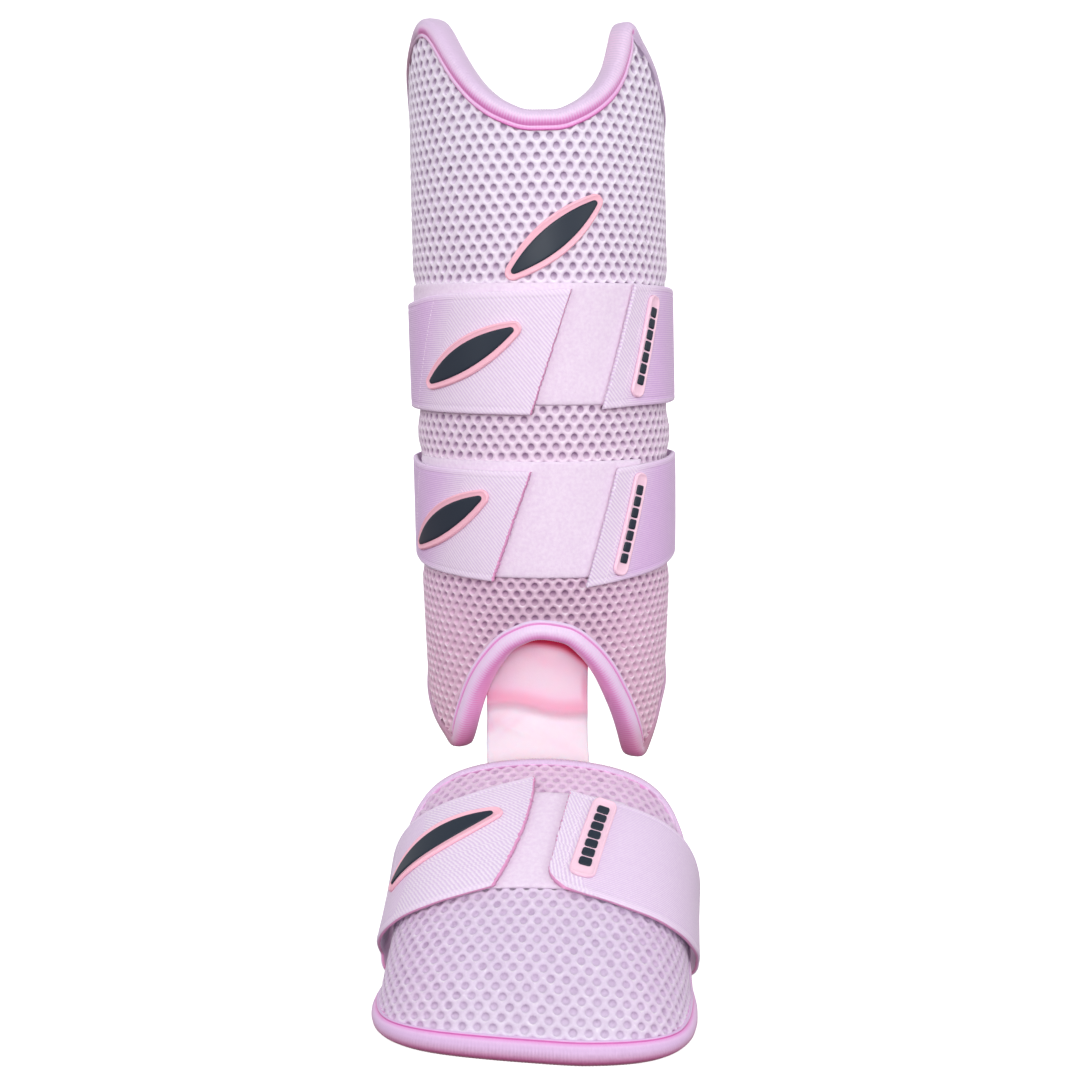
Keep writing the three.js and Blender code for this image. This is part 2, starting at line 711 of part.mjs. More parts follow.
function tongue() {
  const last = TONGUE_PATH[TONGUE_PATH.length - 1].run;
  const path = {};
  for (const key of ["x", "y", "z", "bow", "bow_x"]) {
    path[key] = column(TONGUE_PATH, "run", key);
  }
  const skin = (s, t) => {
    const run = t * last;
    const side = mix(-TONGUE_HALF_WIDTH, TONGUE_HALF_WIDTH, s);
    const x = path.x(run) + side;
    const away = (x - path.bow_x(run)) / TONGUE_HALF_WIDTH;
    const rise = path.z(run + 1) - path.z(run - 1);
    const forward = path.y(run + 1) - path.y(run - 1);
    const length = Math.hypot(rise, forward);
    const back = path.bow(run) * away * away;
    return new THREE.Vector3(x, path.y(run) - back * rise / length, path.z(run) + back * forward / length);
  };
  return slabOnSkin(skin, TONGUE_COLUMNS, TONGUE_ROWS, 0, TONGUE_THICKNESS);
}

// Small slanted shape laid on a surface: its half width along its length comes from a function of the share.
function emblem(place, turn, size, half, steps, low, high) {
  const on = (s, t, out) => {
    const along = mix(-size.length / 2, size.length / 2, s);
    const side = mix(-1, 1, t) * half(2 * s - 1);
    const across = along * Math.cos(turn * RAD) - side * Math.sin(turn * RAD);
    const up = along * Math.sin(turn * RAD) + side * Math.cos(turn * RAD);
    return place(across, up, out);
  };
  return slab(on, steps, 2, low, high);
}

function lozenge(size) {
  return (share) => size.end + (size.middle - size.end) * (1 - share * share);
}

const CAPSULE_TIP = 0.35;

function capsule(size) {
  const round = size.half / (size.length / 2);
  return (share) => {
    const past = Math.max(0, Math.abs(share) - (1 - round)) / round;
    return size.half * Math.max(CAPSULE_TIP, Math.sqrt(Math.max(0, 1 - past * past)));
  };
}

function onShin(at, over) {
  return (across, up, out) => {
    const angle = at.angle + across / shinSpread(at.angle, at.height);
    return shinPoint(angle, at.height + up, over(angle) + out);
  };
}

function onFoot(at) {
  return (across, up, out) => {
    const angle = at.angle + across / footSpread(at.angle, at.down);
    const share = Math.min(Math.abs(angle) / FOOT_STRAP_SIDE, 1);
    const lift = mix(FOOT_STRAP_LIFT.middle, FOOT_STRAP_LIFT.side, share * share);
    return footPoint(angle, at.down - up, lift + STRAP_THICKNESS + out);
  };
}

const overPanel = () => 0;
const overStrap = (angle) => strapLift(turnFromFront(angle)) + STRAP_THICKNESS;

const group = new THREE.Group();
group.name = "leg_guard";

function add(name, geometry, look) {
  const material = new THREE.MeshStandardMaterial({ ...look, metalness: 0 });
  const mesh = new THREE.Mesh(geometry, material);
  mesh.name = name;
  group.add(mesh);
}

function addEmblem(name, inlayName, place, turn, base, inlay, shape, steps) {
  const top = GAP + BADGE_THICKNESS;
  add(name, emblem(place, turn, base, shape(base), steps, GAP, top), COLOURS.badge);
  const geometry = emblem(place, turn, inlay, shape(inlay), steps, top + GAP, top + GAP + INLAY_THICKNESS);
  add(inlayName, geometry, COLOURS.inlay);
}

function addBadge(name, place, turn) {
  addEmblem(name, `${name}_inlay`, place, turn, BADGE, BADGE_INLAY, lozenge, BADGE_STEPS);
}

function addLabel(name, place, turn, base, bar) {
  addEmblem(name, `${name}_bar`, place, turn, base, bar, capsule, LABEL_STEPS);
}

add("shin_panel", panel(shinShape), COLOURS.mesh);
add("shin_binding", binding(shinShape), COLOURS.binding);
addBadge("shin_badge", onShin(SHIN_BADGE, overPanel), SHIN_BADGE.turn);

add("upper_loop_patch", shinPatch(UPPER_PATCH), COLOURS.loop);
add("upper_strap", shinStrap(UPPER_STRAP), COLOURS.elastic);
addBadge("upper_strap_badge", onShin(UPPER_BADGE, overStrap), UPPER_BADGE.turn);
addLabel("upper_strap_label", onShin(UPPER_LABEL_PLACE, overStrap), UPPER_LABEL_PLACE.turn, LABEL, LABEL_BAR);

add("lower_loop_patch", shinPatch(LOWER_PATCH), COLOURS.loop);
add("lower_strap", shinStrap(LOWER_STRAP), COLOURS.elastic);
addBadge("lower_strap_badge", onShin(LOWER_BADGE, overStrap), LOWER_BADGE.turn);
addLabel("lower_strap_label", onShin(LOWER_LABEL_PLACE, overStrap), LOWER_LABEL_PLACE.turn, LABEL, LABEL_BAR);

add("tongue", tongue(), COLOURS.tongue);

add("foot_panel", panel(footShape), COLOURS.mesh);
add("foot_binding", binding(footShape), COLOURS.binding);
add("foot_loop_patch", footPatch(FOOT_PATCH), COLOURS.loop);
add("foot_strap", footStrap(), COLOURS.elastic);
addBadge("foot_strap_badge", onFoot(FOOT_BADGE), FOOT_BADGE.turn);
addLabel("foot_strap_label", onFoot(FOOT_LABEL_PLACE), FOOT_LABEL_PLACE.turn, FOOT_LABEL, FOOT_LABEL_BAR);

export default group;
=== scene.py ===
"""A pink batter's leg guard: mesh-covered shin and foot panels, bound edges, elastic straps and a tongue.

Sizes are millimetres until a mesh is made, and angles are degrees.
"""
import math

import bpy
import numpy as np
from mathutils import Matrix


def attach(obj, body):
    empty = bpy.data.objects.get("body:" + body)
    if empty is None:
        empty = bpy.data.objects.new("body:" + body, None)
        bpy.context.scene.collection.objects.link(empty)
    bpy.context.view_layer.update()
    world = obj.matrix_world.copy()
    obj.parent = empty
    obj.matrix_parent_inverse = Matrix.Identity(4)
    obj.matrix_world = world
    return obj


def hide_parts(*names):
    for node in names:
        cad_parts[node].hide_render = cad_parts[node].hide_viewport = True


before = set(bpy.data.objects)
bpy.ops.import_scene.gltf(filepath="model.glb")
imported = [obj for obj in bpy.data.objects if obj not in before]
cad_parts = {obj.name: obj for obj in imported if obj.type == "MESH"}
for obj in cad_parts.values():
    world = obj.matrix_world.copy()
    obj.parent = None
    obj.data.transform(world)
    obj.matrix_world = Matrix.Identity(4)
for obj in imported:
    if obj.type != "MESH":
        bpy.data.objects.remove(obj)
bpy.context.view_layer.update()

MM = 0.001
RAD = math.pi / 180
FLOOR_HEIGHT = -240.0
noise = np.random.default_rng(11)


def rows(names, values):
    """Table rows with named columns."""
    keys = names.split()
    return [dict(zip(keys, row)) for row in values]


def column(table, at, key):
    """Smooth curve through one column of a table, without overshoot between rows."""
    x = np.array([row[at] for row in table], float)
    y = np.array([row[key] for row in table], float)
    slope = np.diff(y) / np.diff(x)
    product = slope[:-1] * slope[1:]
    same = product > 0
    inner = np.where(same, 2 * product / np.where(same, slope[:-1] + slope[1:], 1), 0)
    tangent = np.concatenate([slope[:1], inner, slope[-1:]])

    def curve(value):
        here = np.clip(value, x[0], x[-1])
        i = np.clip(np.searchsorted(x, here) - 1, 0, len(x) - 2)
        step = x[i + 1] - x[i]
        t = (here - x[i]) / step
        rise = t * t * (3 - 2 * t)
        start = t * (1 - t) ** 2 * step * tangent[i]
        stop = t * t * (t - 1) * step * tangent[i + 1]
        return y[i] + (y[i + 1] - y[i]) * rise + start + stop

    return curve


def mix(start, stop, share):
    return start + (stop - start) * share


def bump(value, centre, width):
    """Soft bump of height 1."""
    return np.exp(-(((value - centre) / width) ** 2))


def smooth(value, start, stop):
    """Soft step from 0 at start to 1 at stop."""
    share = np.clip((value - start) / (stop - start), 0, 1)
    return share * share * (3 - 2 * share)


def plateau(value, start, full, fall, stop):
    """Soft step up from start to full, and down again from fall to stop."""
    return smooth(value, start, full) * (1 - smooth(value, fall, stop))


def rounded(from_edge, drop, softness):
    """How far a soft edge is rounded off."""
    return drop * np.exp(-from_edge / softness)


def running(steps):
    """Running total of steps, from 0."""
    return np.concatenate([[0], np.cumsum(steps)])


def unit(vectors):
    return vectors / np.linalg.norm(vectors, axis=-1, keepdims=True)


def turn_from_front(turn):
    whole = np.mod(turn, 360)
    return np.minimum(whole, 360 - whole)


# Sizes shared with the solids
PANEL_THICKNESS = 7.0
STRAP_THICKNESS = 1.8
PATCH_OUT = 0.35
PATCH_THICKNESS = 1.2
SHIN_WRAP = 102
LEG_BACK_DEPTH = 50.0
SHIN_SECTIONS = rows("height half_width depth shift", [
    (-160, 51.0, 55.5, 3.1),
    (-60, 54.8, 59.0, 2.4),
    (40, 55.2, 60.5, 0.2),
    (160, 54.6, 60.0, -2.4),
])
SHIN_TOP = rows("angle height", [
    (-102, 94), (-98, 112), (-92, 126), (-80, 138), (-72, 143.5), (-64, 149), (-57, 151.2),
    (-52, 150.2), (-47, 146.5), (-40.5, 138.8), (-32, 128.6), (-23.5, 120.5), (-14, 114.6), (-3, 111.2),
    (8, 111.4), (16, 114), (23.5, 118), (30.5, 123.5), (36, 130.5), (40, 139.5), (42.5, 146),
    (45, 148.8), (48, 147.2), (51.5, 143.4), (58, 138), (66, 131.5), (74, 123.8), (86, 115.8),
    (94, 110), (98, 104), (102, 88),
])
SHIN_BOTTOM = rows("angle height", [
    (-102, -110), (-98, -122), (-92, -128.8), (-80, -135.8), (-69, -141.8), (-57, -147.8), (-52, -150.8),
    (-49.5, -150.8), (-46.5, -147.4), (-41, -137), (-33.5, -123.8), (-25, -113.3), (-15.5, -105),
    (-3, -100.8), (8, -102.4), (18, -109), (27, -118.4), (33.8, -128), (40, -137.5), (44.8, -146),
    (47.8, -151.8), (50.6, -155.4), (53.4, -155.4), (59, -151), (67, -142.6), (74, -134.8), (86, -128.8),
    (94, -124), (98, -117), (102, -104),
])
FOOT_WRAP = 96
FOOT_RISE = 50.0
FOOT_ANKLE = (2.2, -62.0, -152.0)
FOOT_TURN = -4 * RAD
FOOT_RIM_HEIGHT = -237.5
FOOT_PROFILE = rows("down slope half_width square", [
    (-20, 13, 60.2, 0.035), (0, 18, 60.2, 0.035), (25, 26, 59.7, 0.036), (50, 33, 59.3, 0.038),
    (75, 37, 59.6, 0.042), (100, 42, 61.0, 0.052), (120, 52, 62.0, 0.061), (140, 68, 62.2, 0.065),
    (160, 80, 62.2, 0.065),
])
TOE_LEAD = rows("across reach", [
    (-66, -4.6), (-50, -3.6), (-36, -2.2), (-20, -0.7), (0, 1.6), (25, 4.6), (66, 5),
])
TOE_GROWTH = (80, 130)
FOOT_ANKLE_EDGE = rows("angle down", [
    (0, 2.2), (30, 2.8), (42, 4.2), (52, 7.5), (62, 13), (74, 21), (86, 32), (92, 40), (96, 51),
])
UPPER_PATCH = dict(start=-84, stop=50, bottom=-5.5, top=44.2)
LOWER_PATCH = dict(start=-74, stop=46, bottom=-76.8, top=-28.6)
FOOT_PATCH = dict(start=-22, stop=30, bottom=75, top=25)
SHIN_BREADTH = rows("angle upper lower", [
    (-102, 0.3, 0.25), (-72, 0.3, 0.25), (-60, 0.8, 0.25), (-52, 1, 0.6), (-44, 1, 1),
    (42, 1, 1), (48, 0.7, 1), (54, 0.25, 0.6), (60, 0.25, 0.25), (102, 0.25, 0.25),
])
FOOT_BREADTH = rows("down share", [(0, 0.5), (45, 0.5), (95, 0.85), (112, 1.25), (150, 1.25)])
STRAP_LIFT = rows("turn out", [(0, 1.9), (84, 1.9), (95, 2.5), (108, 2.5), (140, 2.4), (180, 2.2)])
UPPER_STRAP = dict(
    left=(-5.5, 12),
    right=(24.8, 42),
    edges=rows("turn bottom top", [
        (-336, -7.3, 43.7), (-315, -6.2, 43.7), (-290, -5.8, 43.3), (-270, -5.5, 42.6), (-180, -7, 39.5),
        (-90, -8.4, 36.6), (-67, -8.6, 37.4), (-48, -9, 39.5), (-20, -9.3, 40.5), (12, -9.5, 41.6),
    ]),
)
LOWER_STRAP = dict(
    left=(-23, -6),
    right=(16.8, 31.6),
    edges=rows("turn bottom top", [
        (-344, -80.9, -32.2), (-328, -78.8, -31.6), (-312, -76.8, -30.3), (-284, -73.2, -28.6),
        (-270, -72.5, -28), (-180, -73, -28), (-90, -73.2, -29.6), (-68, -75, -31.6), (-42, -77.2, -32.3),
        (-6, -79.5, -32.6),
    ]),
)
FOOT_STRAP_LIFT = (2.0, 3.2)
FOOT_STRAP_SIDE = 95
FOOT_STRAP_FLARE = 1.6
FOOT_STRAP_PALE = 0.75
FOOT_STRAP_CORNER = 6.0
FOOT_STRAP_LEFT = rows("angle upper lower", [
    (-95, 18, 67), (-72, 24, 77), (-58, 26, 80), (-41, 27, 81), (-28, 26, 79.5), (-17, 23, 77), (-3, 18, 73),
])
FOOT_STRAP_RIGHT = rows("angle upper lower", [
    (4, 24, 72.5), (10, 26, 76), (22, 28.5, 79.5), (36, 29, 82), (50, 28, 82.5), (68, 25, 80), (95, 18, 68),
])
FOOT_STRAP_ENDS = dict(left=(-13, -3), left_bow=3.2, right=(4, 10))
SOLE_RUN = dict(front=-86, back=-37, height=-238.9, square=0.1)
TONGUE_HALF_WIDTH = 21.6
TONGUE_THICKNESS = 2.4
TONGUE_PATH = rows("run y z bow x bow_x", [
    (0, -51.3, -62, 6.4, 0.2, 1.6), (22, -50.4, -84, 6.6, -0.2, 2.0), (33, -48.8, -95, 6.8, -0.5, 2.3),
    (40, -48.1, -102, 6.9, -0.7, 2.3), (52, -47.1, -114, 7.0, -1.0, 2.3), (66, -47.2, -128, 6.8, -1.2, 2.0),
    (76, -48.2, -138, 6.8, -1.2, 1.4), (83, -50.6, -144.6, 4.6, -1.2, 1.2), (89, -53.4, -150, 3.2, -1, 1.6),
    (97, -55.4, -158.2, 2.2, -0.6, 3), (103, -60.2, -162.4, 1.9, -0.2, 4), (108, -65.2, -164, 1.8, 0.6, 4),
    (115, -72.2, -165.3, 1.8, 0.6, 3.6), (125.5, -81.9, -169.1, 1.8, 0.4, 2.8),
    (136, -91.2, -173.9, 1.8, 0.2, 2),
])

# Shin surface
CINCH_DEPTH = 1.3
CINCH_SIDE = (55, 80, 96, 116)
CINCH_HEIGHTS = ((-18, -8, 42, 52), (-84, -74, -30, -20))
SHIN_MEAN_HALF_WIDTH = 56.0
SHIN_MEAN_DEPTH = 59.5
shin_half_width = column(SHIN_SECTIONS, "height", "half_width")
shin_depth = column(SHIN_SECTIONS, "height", "depth")
shin_shift = column(SHIN_SECTIONS, "height", "shift")


def cinch(angle, height):
    """How far the straps press the padding in at the sides."""
    press = plateau(turn_from_front(angle), *CINCH_SIDE)
    return CINCH_DEPTH * press * sum(plateau(height, *band) for band in CINCH_HEIGHTS)


def shin_point(angle, height, out):
    angle, height, out = np.broadcast_arrays(angle, height, out)
    out = out - cinch(angle, height)
    sine = np.sin(angle * RAD)
    cosine = np.cos(angle * RAD)
    wide = shin_half_width(height)
    deep = np.where(cosine > 0, shin_depth(height), LEG_BACK_DEPTH)
    length = np.hypot(sine / wide, cosine / deep)
    x = shin_shift(height) + wide * sine + out * sine / wide / length
    y = -deep * cosine - out * cosine / deep / length
    return np.stack([x, y, height + 0 * x], -1)


# Foot surface: an arch carried down a sloping centre line
foot_slope = column(FOOT_PROFILE, "down", "slope")
foot_square = column(FOOT_PROFILE, "down", "square")
foot_half_width = column(FOOT_PROFILE, "down", "half_width")
toe_reach = column(TOE_LEAD, "across", "reach")
FOOT_MIDDLE = 70.0
FOOT_EDGE_SEARCH = (40.0, 150.0)
SEARCH_ROUNDS = 40


def centre_line():
    """Distance down in millimetres, and the foot's centre line there, from the ankle."""
    down = np.arange(FOOT_PROFILE[0]["down"], FOOT_PROFILE[-1]["down"] + 1.0)
    slope = foot_slope(down[:-1] + 0.5) * RAD
    y = running(-np.cos(slope))
    z = running(-np.sin(slope))
    ankle = int(np.argmin(np.abs(down)))
    return down, y - y[ankle], z - z[ankle]


centre_down, centre_y, centre_z = centre_line()


def foot_section(angle, down):
    square = foot_square(down)
    wide = foot_half_width(down)
    t = angle * RAD
    across = wide * (np.sin(t) + square * np.sin(3 * t)) / (1 - square)
    rise = FOOT_RISE * ((np.cos(t) - square * np.cos(3 * t)) / (1 - square) - 1)
    run = wide * (np.cos(t) + 3 * square * np.cos(3 * t)) / (1 - square)
    fall = FOOT_RISE * (3 * square * np.sin(3 * t) - np.sin(t)) / (1 - square)
    return across, rise, run, fall


def foot_point(angle, down, out):
    angle, down, out = np.broadcast_arrays(angle, down, out)
    across, rise, run, fall = foot_section(angle, down)
    lead = toe_reach(across) * smooth(down, *TOE_GROWTH)
    length = np.hypot(run, fall)
    across = across - out * fall / length
    rise = rise + out * run / length
    slope = foot_slope(down) * RAD
    forward = np.interp(down, centre_down, centre_y) - np.sin(slope) * rise - lead
    up = np.interp(down, centre_down, centre_z) + np.cos(slope) * rise
    x = FOOT_ANKLE[0] + across * math.cos(FOOT_TURN) - forward * math.sin(FOOT_TURN)
    y = FOOT_ANKLE[1] + across * math.sin(FOOT_TURN) + forward * math.cos(FOOT_TURN)
    return np.stack([x, y, FOOT_ANKLE[2] + up], -1)


def foot_front_edge(angle):
    """Distance down to where the foot surface comes to the rim's height."""
    near, far = (np.full(np.shape(angle), limit) for limit in FOOT_EDGE_SEARCH)
    for _ in range(SEARCH_ROUNDS):
        middle = (near + far) / 2
        above = foot_point(angle, middle, 0.0)[..., 2] > FOOT_RIM_HEIGHT
        near = np.where(above, middle, near)
        far = np.where(above, far, middle)
    return (near + far) / 2


WRAP_MARGIN = 8


class Panel:
    """A panel's surface, with places given by distance across from the middle and distance up along it."""

    def __init__(self, wrap, point, lower, upper, spread):
        self.point = point
        angles = np.linspace(-wrap - WRAP_MARGIN, wrap + WRAP_MARGIN, 800)
        lengths = spread(angles)
        steps = (lengths[1:] + lengths[:-1]) / 2 * np.diff(angles)
        across = running(steps)
        self.angles = angles
        self.across = across - np.interp(0, angles, across)
        self.half = float(np.interp(wrap, angles, self.across))
        self.lower = lambda a: lower(self.angle(a))
        self.upper = lambda a: upper(self.angle(a))

    def angle(self, across):
        return np.interp(across, self.across, self.angles)

    def place(self, across, along, out):
        return self.point(self.angle(across), along, out)

    def holds(self, across, along):
        inside = (along > self.lower(across)) & (along < self.upper(across))
        return inside & (np.abs(across) < self.half)


def shin_spread(angle):
    """Millimetres per degree round the shin."""
    return RAD * np.hypot(SHIN_MEAN_HALF_WIDTH * np.cos(angle * RAD), SHIN_MEAN_DEPTH * np.sin(angle * RAD))


def foot_spread(angle):
    section = foot_section(angle, FOOT_MIDDLE + 0 * angle)
    return RAD * np.hypot(section[2], section[3])


foot_ankle_edge = column(FOOT_ANKLE_EDGE, "angle", "down")
shin = Panel(
    SHIN_WRAP,
    shin_point,
    column(SHIN_BOTTOM, "angle", "height"),
    column(SHIN_TOP, "angle", "height"),
    shin_spread,
)
foot = Panel(
    FOOT_WRAP,
    lambda angle, along, out: foot_point(angle, -along, out),
    lambda angle: -foot_front_edge(angle),
    lambda angle: -foot_ankle_edge(np.abs(angle)),
    foot_spread,
)


# Meshes
def grid_faces(tall, wide, start=0):
    i, j = np.meshgrid(np.arange(wide - 1), np.arange(tall - 1))
    corner = (start + j * wide + i).ravel()
    return np.stack([corner, corner + 1, corner + wide + 1, corner + wide], 1)


def border(tall, wide):
    first = np.arange(wide - 1)
    right = np.arange(tall - 1) * wide + wide - 1
    last = (tall - 1) * wide + np.arange(wide - 1, 0, -1)
    left = np.arange(tall - 1, 0, -1) * wide
    return np.concatenate([first, right, last, left])


def outward(points, faces):
    """Quads turned so that a closed mesh faces out."""
    a = points[faces[:, 0]]
    volume = 0.0
    for second, third in ((1, 2), (2, 3)):
        side = np.cross(points[faces[:, second]], points[faces[:, third]])
        volume += np.einsum("ij,ij->", a, side)
    return faces if volume > 0 else faces[:, ::-1]


def slab(low, high):
    """Closed mesh between two grids of points."""
    tall, wide = low.shape[:2]
    count = tall * wide
    points = np.concatenate([low.reshape(-1, 3), high.reshape(-1, 3)])
    ring = border(tall, wide)
    after = np.roll(ring, -1)
    walls = np.stack([ring, after, after + count, ring + count], 1)
    faces = np.concatenate([grid_faces(tall, wide)[:, ::-1], grid_faces(tall, wide, count), walls])
    return points, outward(points, faces)


def tube(points, closed):
    """Faces of rings of points joined in order: stations x ring x 3."""
    count, around = points.shape[:2]
    stations = np.arange(count if closed else count - 1)
    k, m = np.meshgrid(stations, np.arange(around), indexing="ij")
    far = (k + 1) % count
    ahead = (m + 1) % around
    quads = np.stack([k * around + m, far * around + m, far * around + ahead, k * around + ahead], -1)
    return quads.reshape(-1, 4)


def normals_of(grid):
    """Unit normals of a grid of points."""
    return unit(np.cross(np.gradient(grid, axis=1), np.gradient(grid, axis=0)))


def make(name, points, faces, materials, indices=None, **fields):
    """Object from points and faces; the fields are values of its points, one or three each."""
    mesh = bpy.data.meshes.new(name)
    mesh.from_pydata((points * MM).tolist(), [], [list(map(int, face)) for face in faces])
    for material in materials:
        mesh.materials.append(material)
    if indices is not None:
        mesh.polygons.foreach_set("material_index", np.asarray(indices, np.int32))
    for field, values in fields.items():
        flat = np.asarray(values, np.float32).ravel()
        kind, key = ("FLOAT", "value") if len(flat) == len(points) else ("FLOAT_VECTOR", "vector")
        mesh.attributes.new(field, kind, "POINT").data.foreach_set(key, flat)
    mesh.polygons.foreach_set("use_smooth", np.full(len(mesh.polygons), True))
    mesh.update()
    obj = bpy.data.objects.new(name, mesh)
    bpy.context.collection.objects.link(obj)
    return obj


def own(obj, slot, *nodes):
    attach(obj, "root")
    if nodes:
        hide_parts(*nodes)
    return obj


# Materials
def tint(red, green, blue):
    """Scene colour of an sRGB colour given from 0 to 255."""
    share = np.array([red, green, blue]) / 255
    values = np.where(share <= 0.04045, share / 12.92, ((share + 0.055) / 1.055) ** 2.4)
    return (*values.tolist(), 1.0)


def feed(material, made, inputs):
    """Links a node's inputs to other sockets, or sets their values."""
    for key, value in inputs.items():
        if isinstance(value, bpy.types.NodeSocket):
            material.node_tree.links.new(value, made.inputs[key])
        else:
            made.inputs[key].default_value = value


def set_shader(material, inputs):
    feed(material, material.node_tree.nodes["Principled BSDF"], inputs)


def new_material(name, colour, roughness, sheen=0.0):
    material = bpy.data.materials.new(name)
    material.use_nodes = True
    set_shader(material, {"Base Color": colour, "Roughness": roughness, "Sheen Weight": sheen})
    set_shader(material, {"Sheen Roughness": 0.4, "Specular IOR Level": 0.25})
    material.diffuse_color = colour
    return material


def node(material, kind, inputs, **settings):
    made = material.node_tree.nodes.new(kind)
    for key, value in settings.items():
        setattr(made, key, value)
    feed(material, made, inputs)
    return made


def maths(material, operation, *values, **settings):
    made = node(material, "ShaderNodeMath", dict(enumerate(values)), operation=operation, **settings)
    return made.outputs[0]


def field(material, name, output):
    return node(material, "ShaderNodeAttribute", {}, attribute_name=name).outputs[output]


def height_of(material, vector):
    return node(material, "ShaderNodeSeparateXYZ", {"Vector": vector}).outputs["Z"]


def grain(material, scale, detail=2.0):
    """Noise over the object's own coordinates, in metres."""
    place = node(material, "ShaderNodeTexCoord", {}).outputs["Object"]
    inputs = {"Vector": place, "Scale": scale, "Detail": detail}
    return node(material, "ShaderNodeTexNoise", inputs).outputs["Fac"]


def relief(material, height, distance, strength=1.0):
    made = node(material, "ShaderNodeBump", {"Height": height, "Distance": distance, "Strength": strength})
    set_shader(material, {"Normal": made.outputs["Normal"]})


def ramp(material, factor, stops):
    """Colour between the given stops of a factor."""
    made = node(material, "ShaderNodeValToRGB", {"Fac": factor})
    elements = made.color_ramp.elements
    while len(elements) < len(stops):
        elements.new(0.5)
    for element, (position, colour) in zip(elements, stops):
        element.position = position
        element.color = colour
    return made.outputs["Color"]


def paint(material, colour):
    set_shader(material, {"Base Color": colour})


def blend(material, share, first, second, way="MIX"):
    """Mix of two colours by a share."""
    inputs = {0: share, 6: first, 7: second}
    return node(material, "ShaderNodeMix", inputs, data_type="RGBA", blend_type=way).outputs[2]


def add_part(material, value, share, rest):
    """Rest plus a share of a value."""
    return maths(material, "MULTIPLY_ADD", value, share, rest)


def pit_of(material):
    return field(material, "pit", "Fac")


def stripes(material, weave, direction, pitch):
    """Wave from 0 to 1 along a direction of the weave, which is in millimetres."""
    along = node(material, "ShaderNodeVectorMath", {0: weave, 1: direction}, operation="DOT_PRODUCT")
    turns = maths(material, "MULTIPLY", along.outputs["Value"], 2 * math.pi / pitch)
    return add_part(material, maths(material, "SINE", turns), 0.5, 0.5)


def plain_cloth(name, colour, scale, depth, roughness=0.85, sheen=0.25):
    material = new_material(name, colour, roughness, sheen)
    relief(material, grain(material, scale), depth, 0.5)
    return material


def mesh_material():
    """Pale knit with painted white glints that darkens to mauve in its holes, partly as painted shade, in a
    painted-shade tone given over the panel.
    """
    material = plain_cloth("mesh", tint(240, 230, 245), 2600.0, 0.0002, 0.7, 0.5)
    pit = pit_of(material)
    uneven = add_part(material, grain(material, 1100.0), 0.22, -0.11)
    depth = maths(material, "ADD", pit, uneven)
    tone = field(material, "tone", "Color")
    # The ramp paints shade into the holes, and the tone paints shade over the panel
    yarn_and_shade = blend(material, 1.0, ramp(material, depth, MESH_STOPS), tone, "MULTIPLY")
    # Painted highlight: white glints where the pit is near 0, on the strand below each hole
    glint = maths(material, "MULTIPLY_ADD", pit, -9.0, 0.9, use_clamp=True)
    paint(material, blend(material, glint, yarn_and_shade, tint(252, 246, 253)))
    return material


def edging_material():
    """Ribbed satin tape with painted shade: deeper in its valley and where it faces down."""
    material = new_material("edging", tint(238, 186, 232), 0.42, 0.5)
    set_shader(material, {"Specular IOR Level": 0.5})
    # Painted shade by facing: paler where the tape faces up, deeper pink where it faces down
    up = height_of(material, node(material, "ShaderNodeNewGeometry", {}).outputs["Normal"])
    depth = maths(material, "ADD", pit_of(material), add_part(material, up, -0.62, 0.14))
    tone = field(material, "tone", "Color")
    paint(material, blend(material, 1.0, ramp(material, depth, EDGING_STOPS), tone, "MULTIPLY"))
    relief(material, grain(material, 1500.0), 0.0001, 0.4)
    return material


def tongue_material():
    material = plain_cloth("salmon", tint(250, 200, 218), 1600.0, 0.00015, 0.8, 0.3)
    set_shader(material, {"Subsurface Weight": 0.6, "Subsurface Scale": 0.006})
    set_shader(material, {"Subsurface Radius": (1.0, 0.25, 0.3)})
    paint(material, ramp(material, pit_of(material), TONGUE_STOPS))
    return material


def elastic_material():
    """Woven elastic with fine cross ribs and selvages; the weave marks the tabs, whose paler twill is partly
    painted light.
    """
    material = new_material("elastic", tint(214, 184, 226), 0.75, 0.35)
    weave = field(material, "weave", "Vector")
    tab = height_of(material, weave)
    ribs = stripes(material, weave, (0.0, 1.0, 0.0), 0.9)
    twill = stripes(material, weave, (-0.64, 0.77, 0.0), 1.1)
    crossed = add_part(material, tab, 14.0, -11.5)
    both = node(material, "ShaderNodeMix", {0: crossed, 2: ribs, 3: twill}).outputs[0]
    worn = add_part(material, grain(material, 900.0), 0.7, -0.35)
    rough = maths(material, "ADD", both, worn)
    relief(material, rough, 0.0002, 0.4)
    # Body is the sides' colour, darker partly as painted shade; end is the tabs' paler twill
    body = ramp(material, rough, ((0.0, tint(219, 180, 231)), (1.0, tint(236, 206, 242))))
    end = ramp(material, rough, ((0.0, tint(222, 201, 230)), (1.0, tint(242, 231, 244))))
    cloth = blend(material, tab, body, end)
    paint(material, blend(material, pit_of(material), cloth, tint(243, 226, 246)))
    return material


def loop_material():
    material = new_material("loop", tint(236, 208, 236), 0.95, 0.35)
    relief(material, grain(material, 1900.0, 4.0), 0.00025, 0.6)
    tuft = grain(material, 700.0, 4.0)
    paint(material, ramp(material, tuft, ((0.3, tint(232, 213, 235)), (0.7, tint(240, 226, 242)))))
    return material
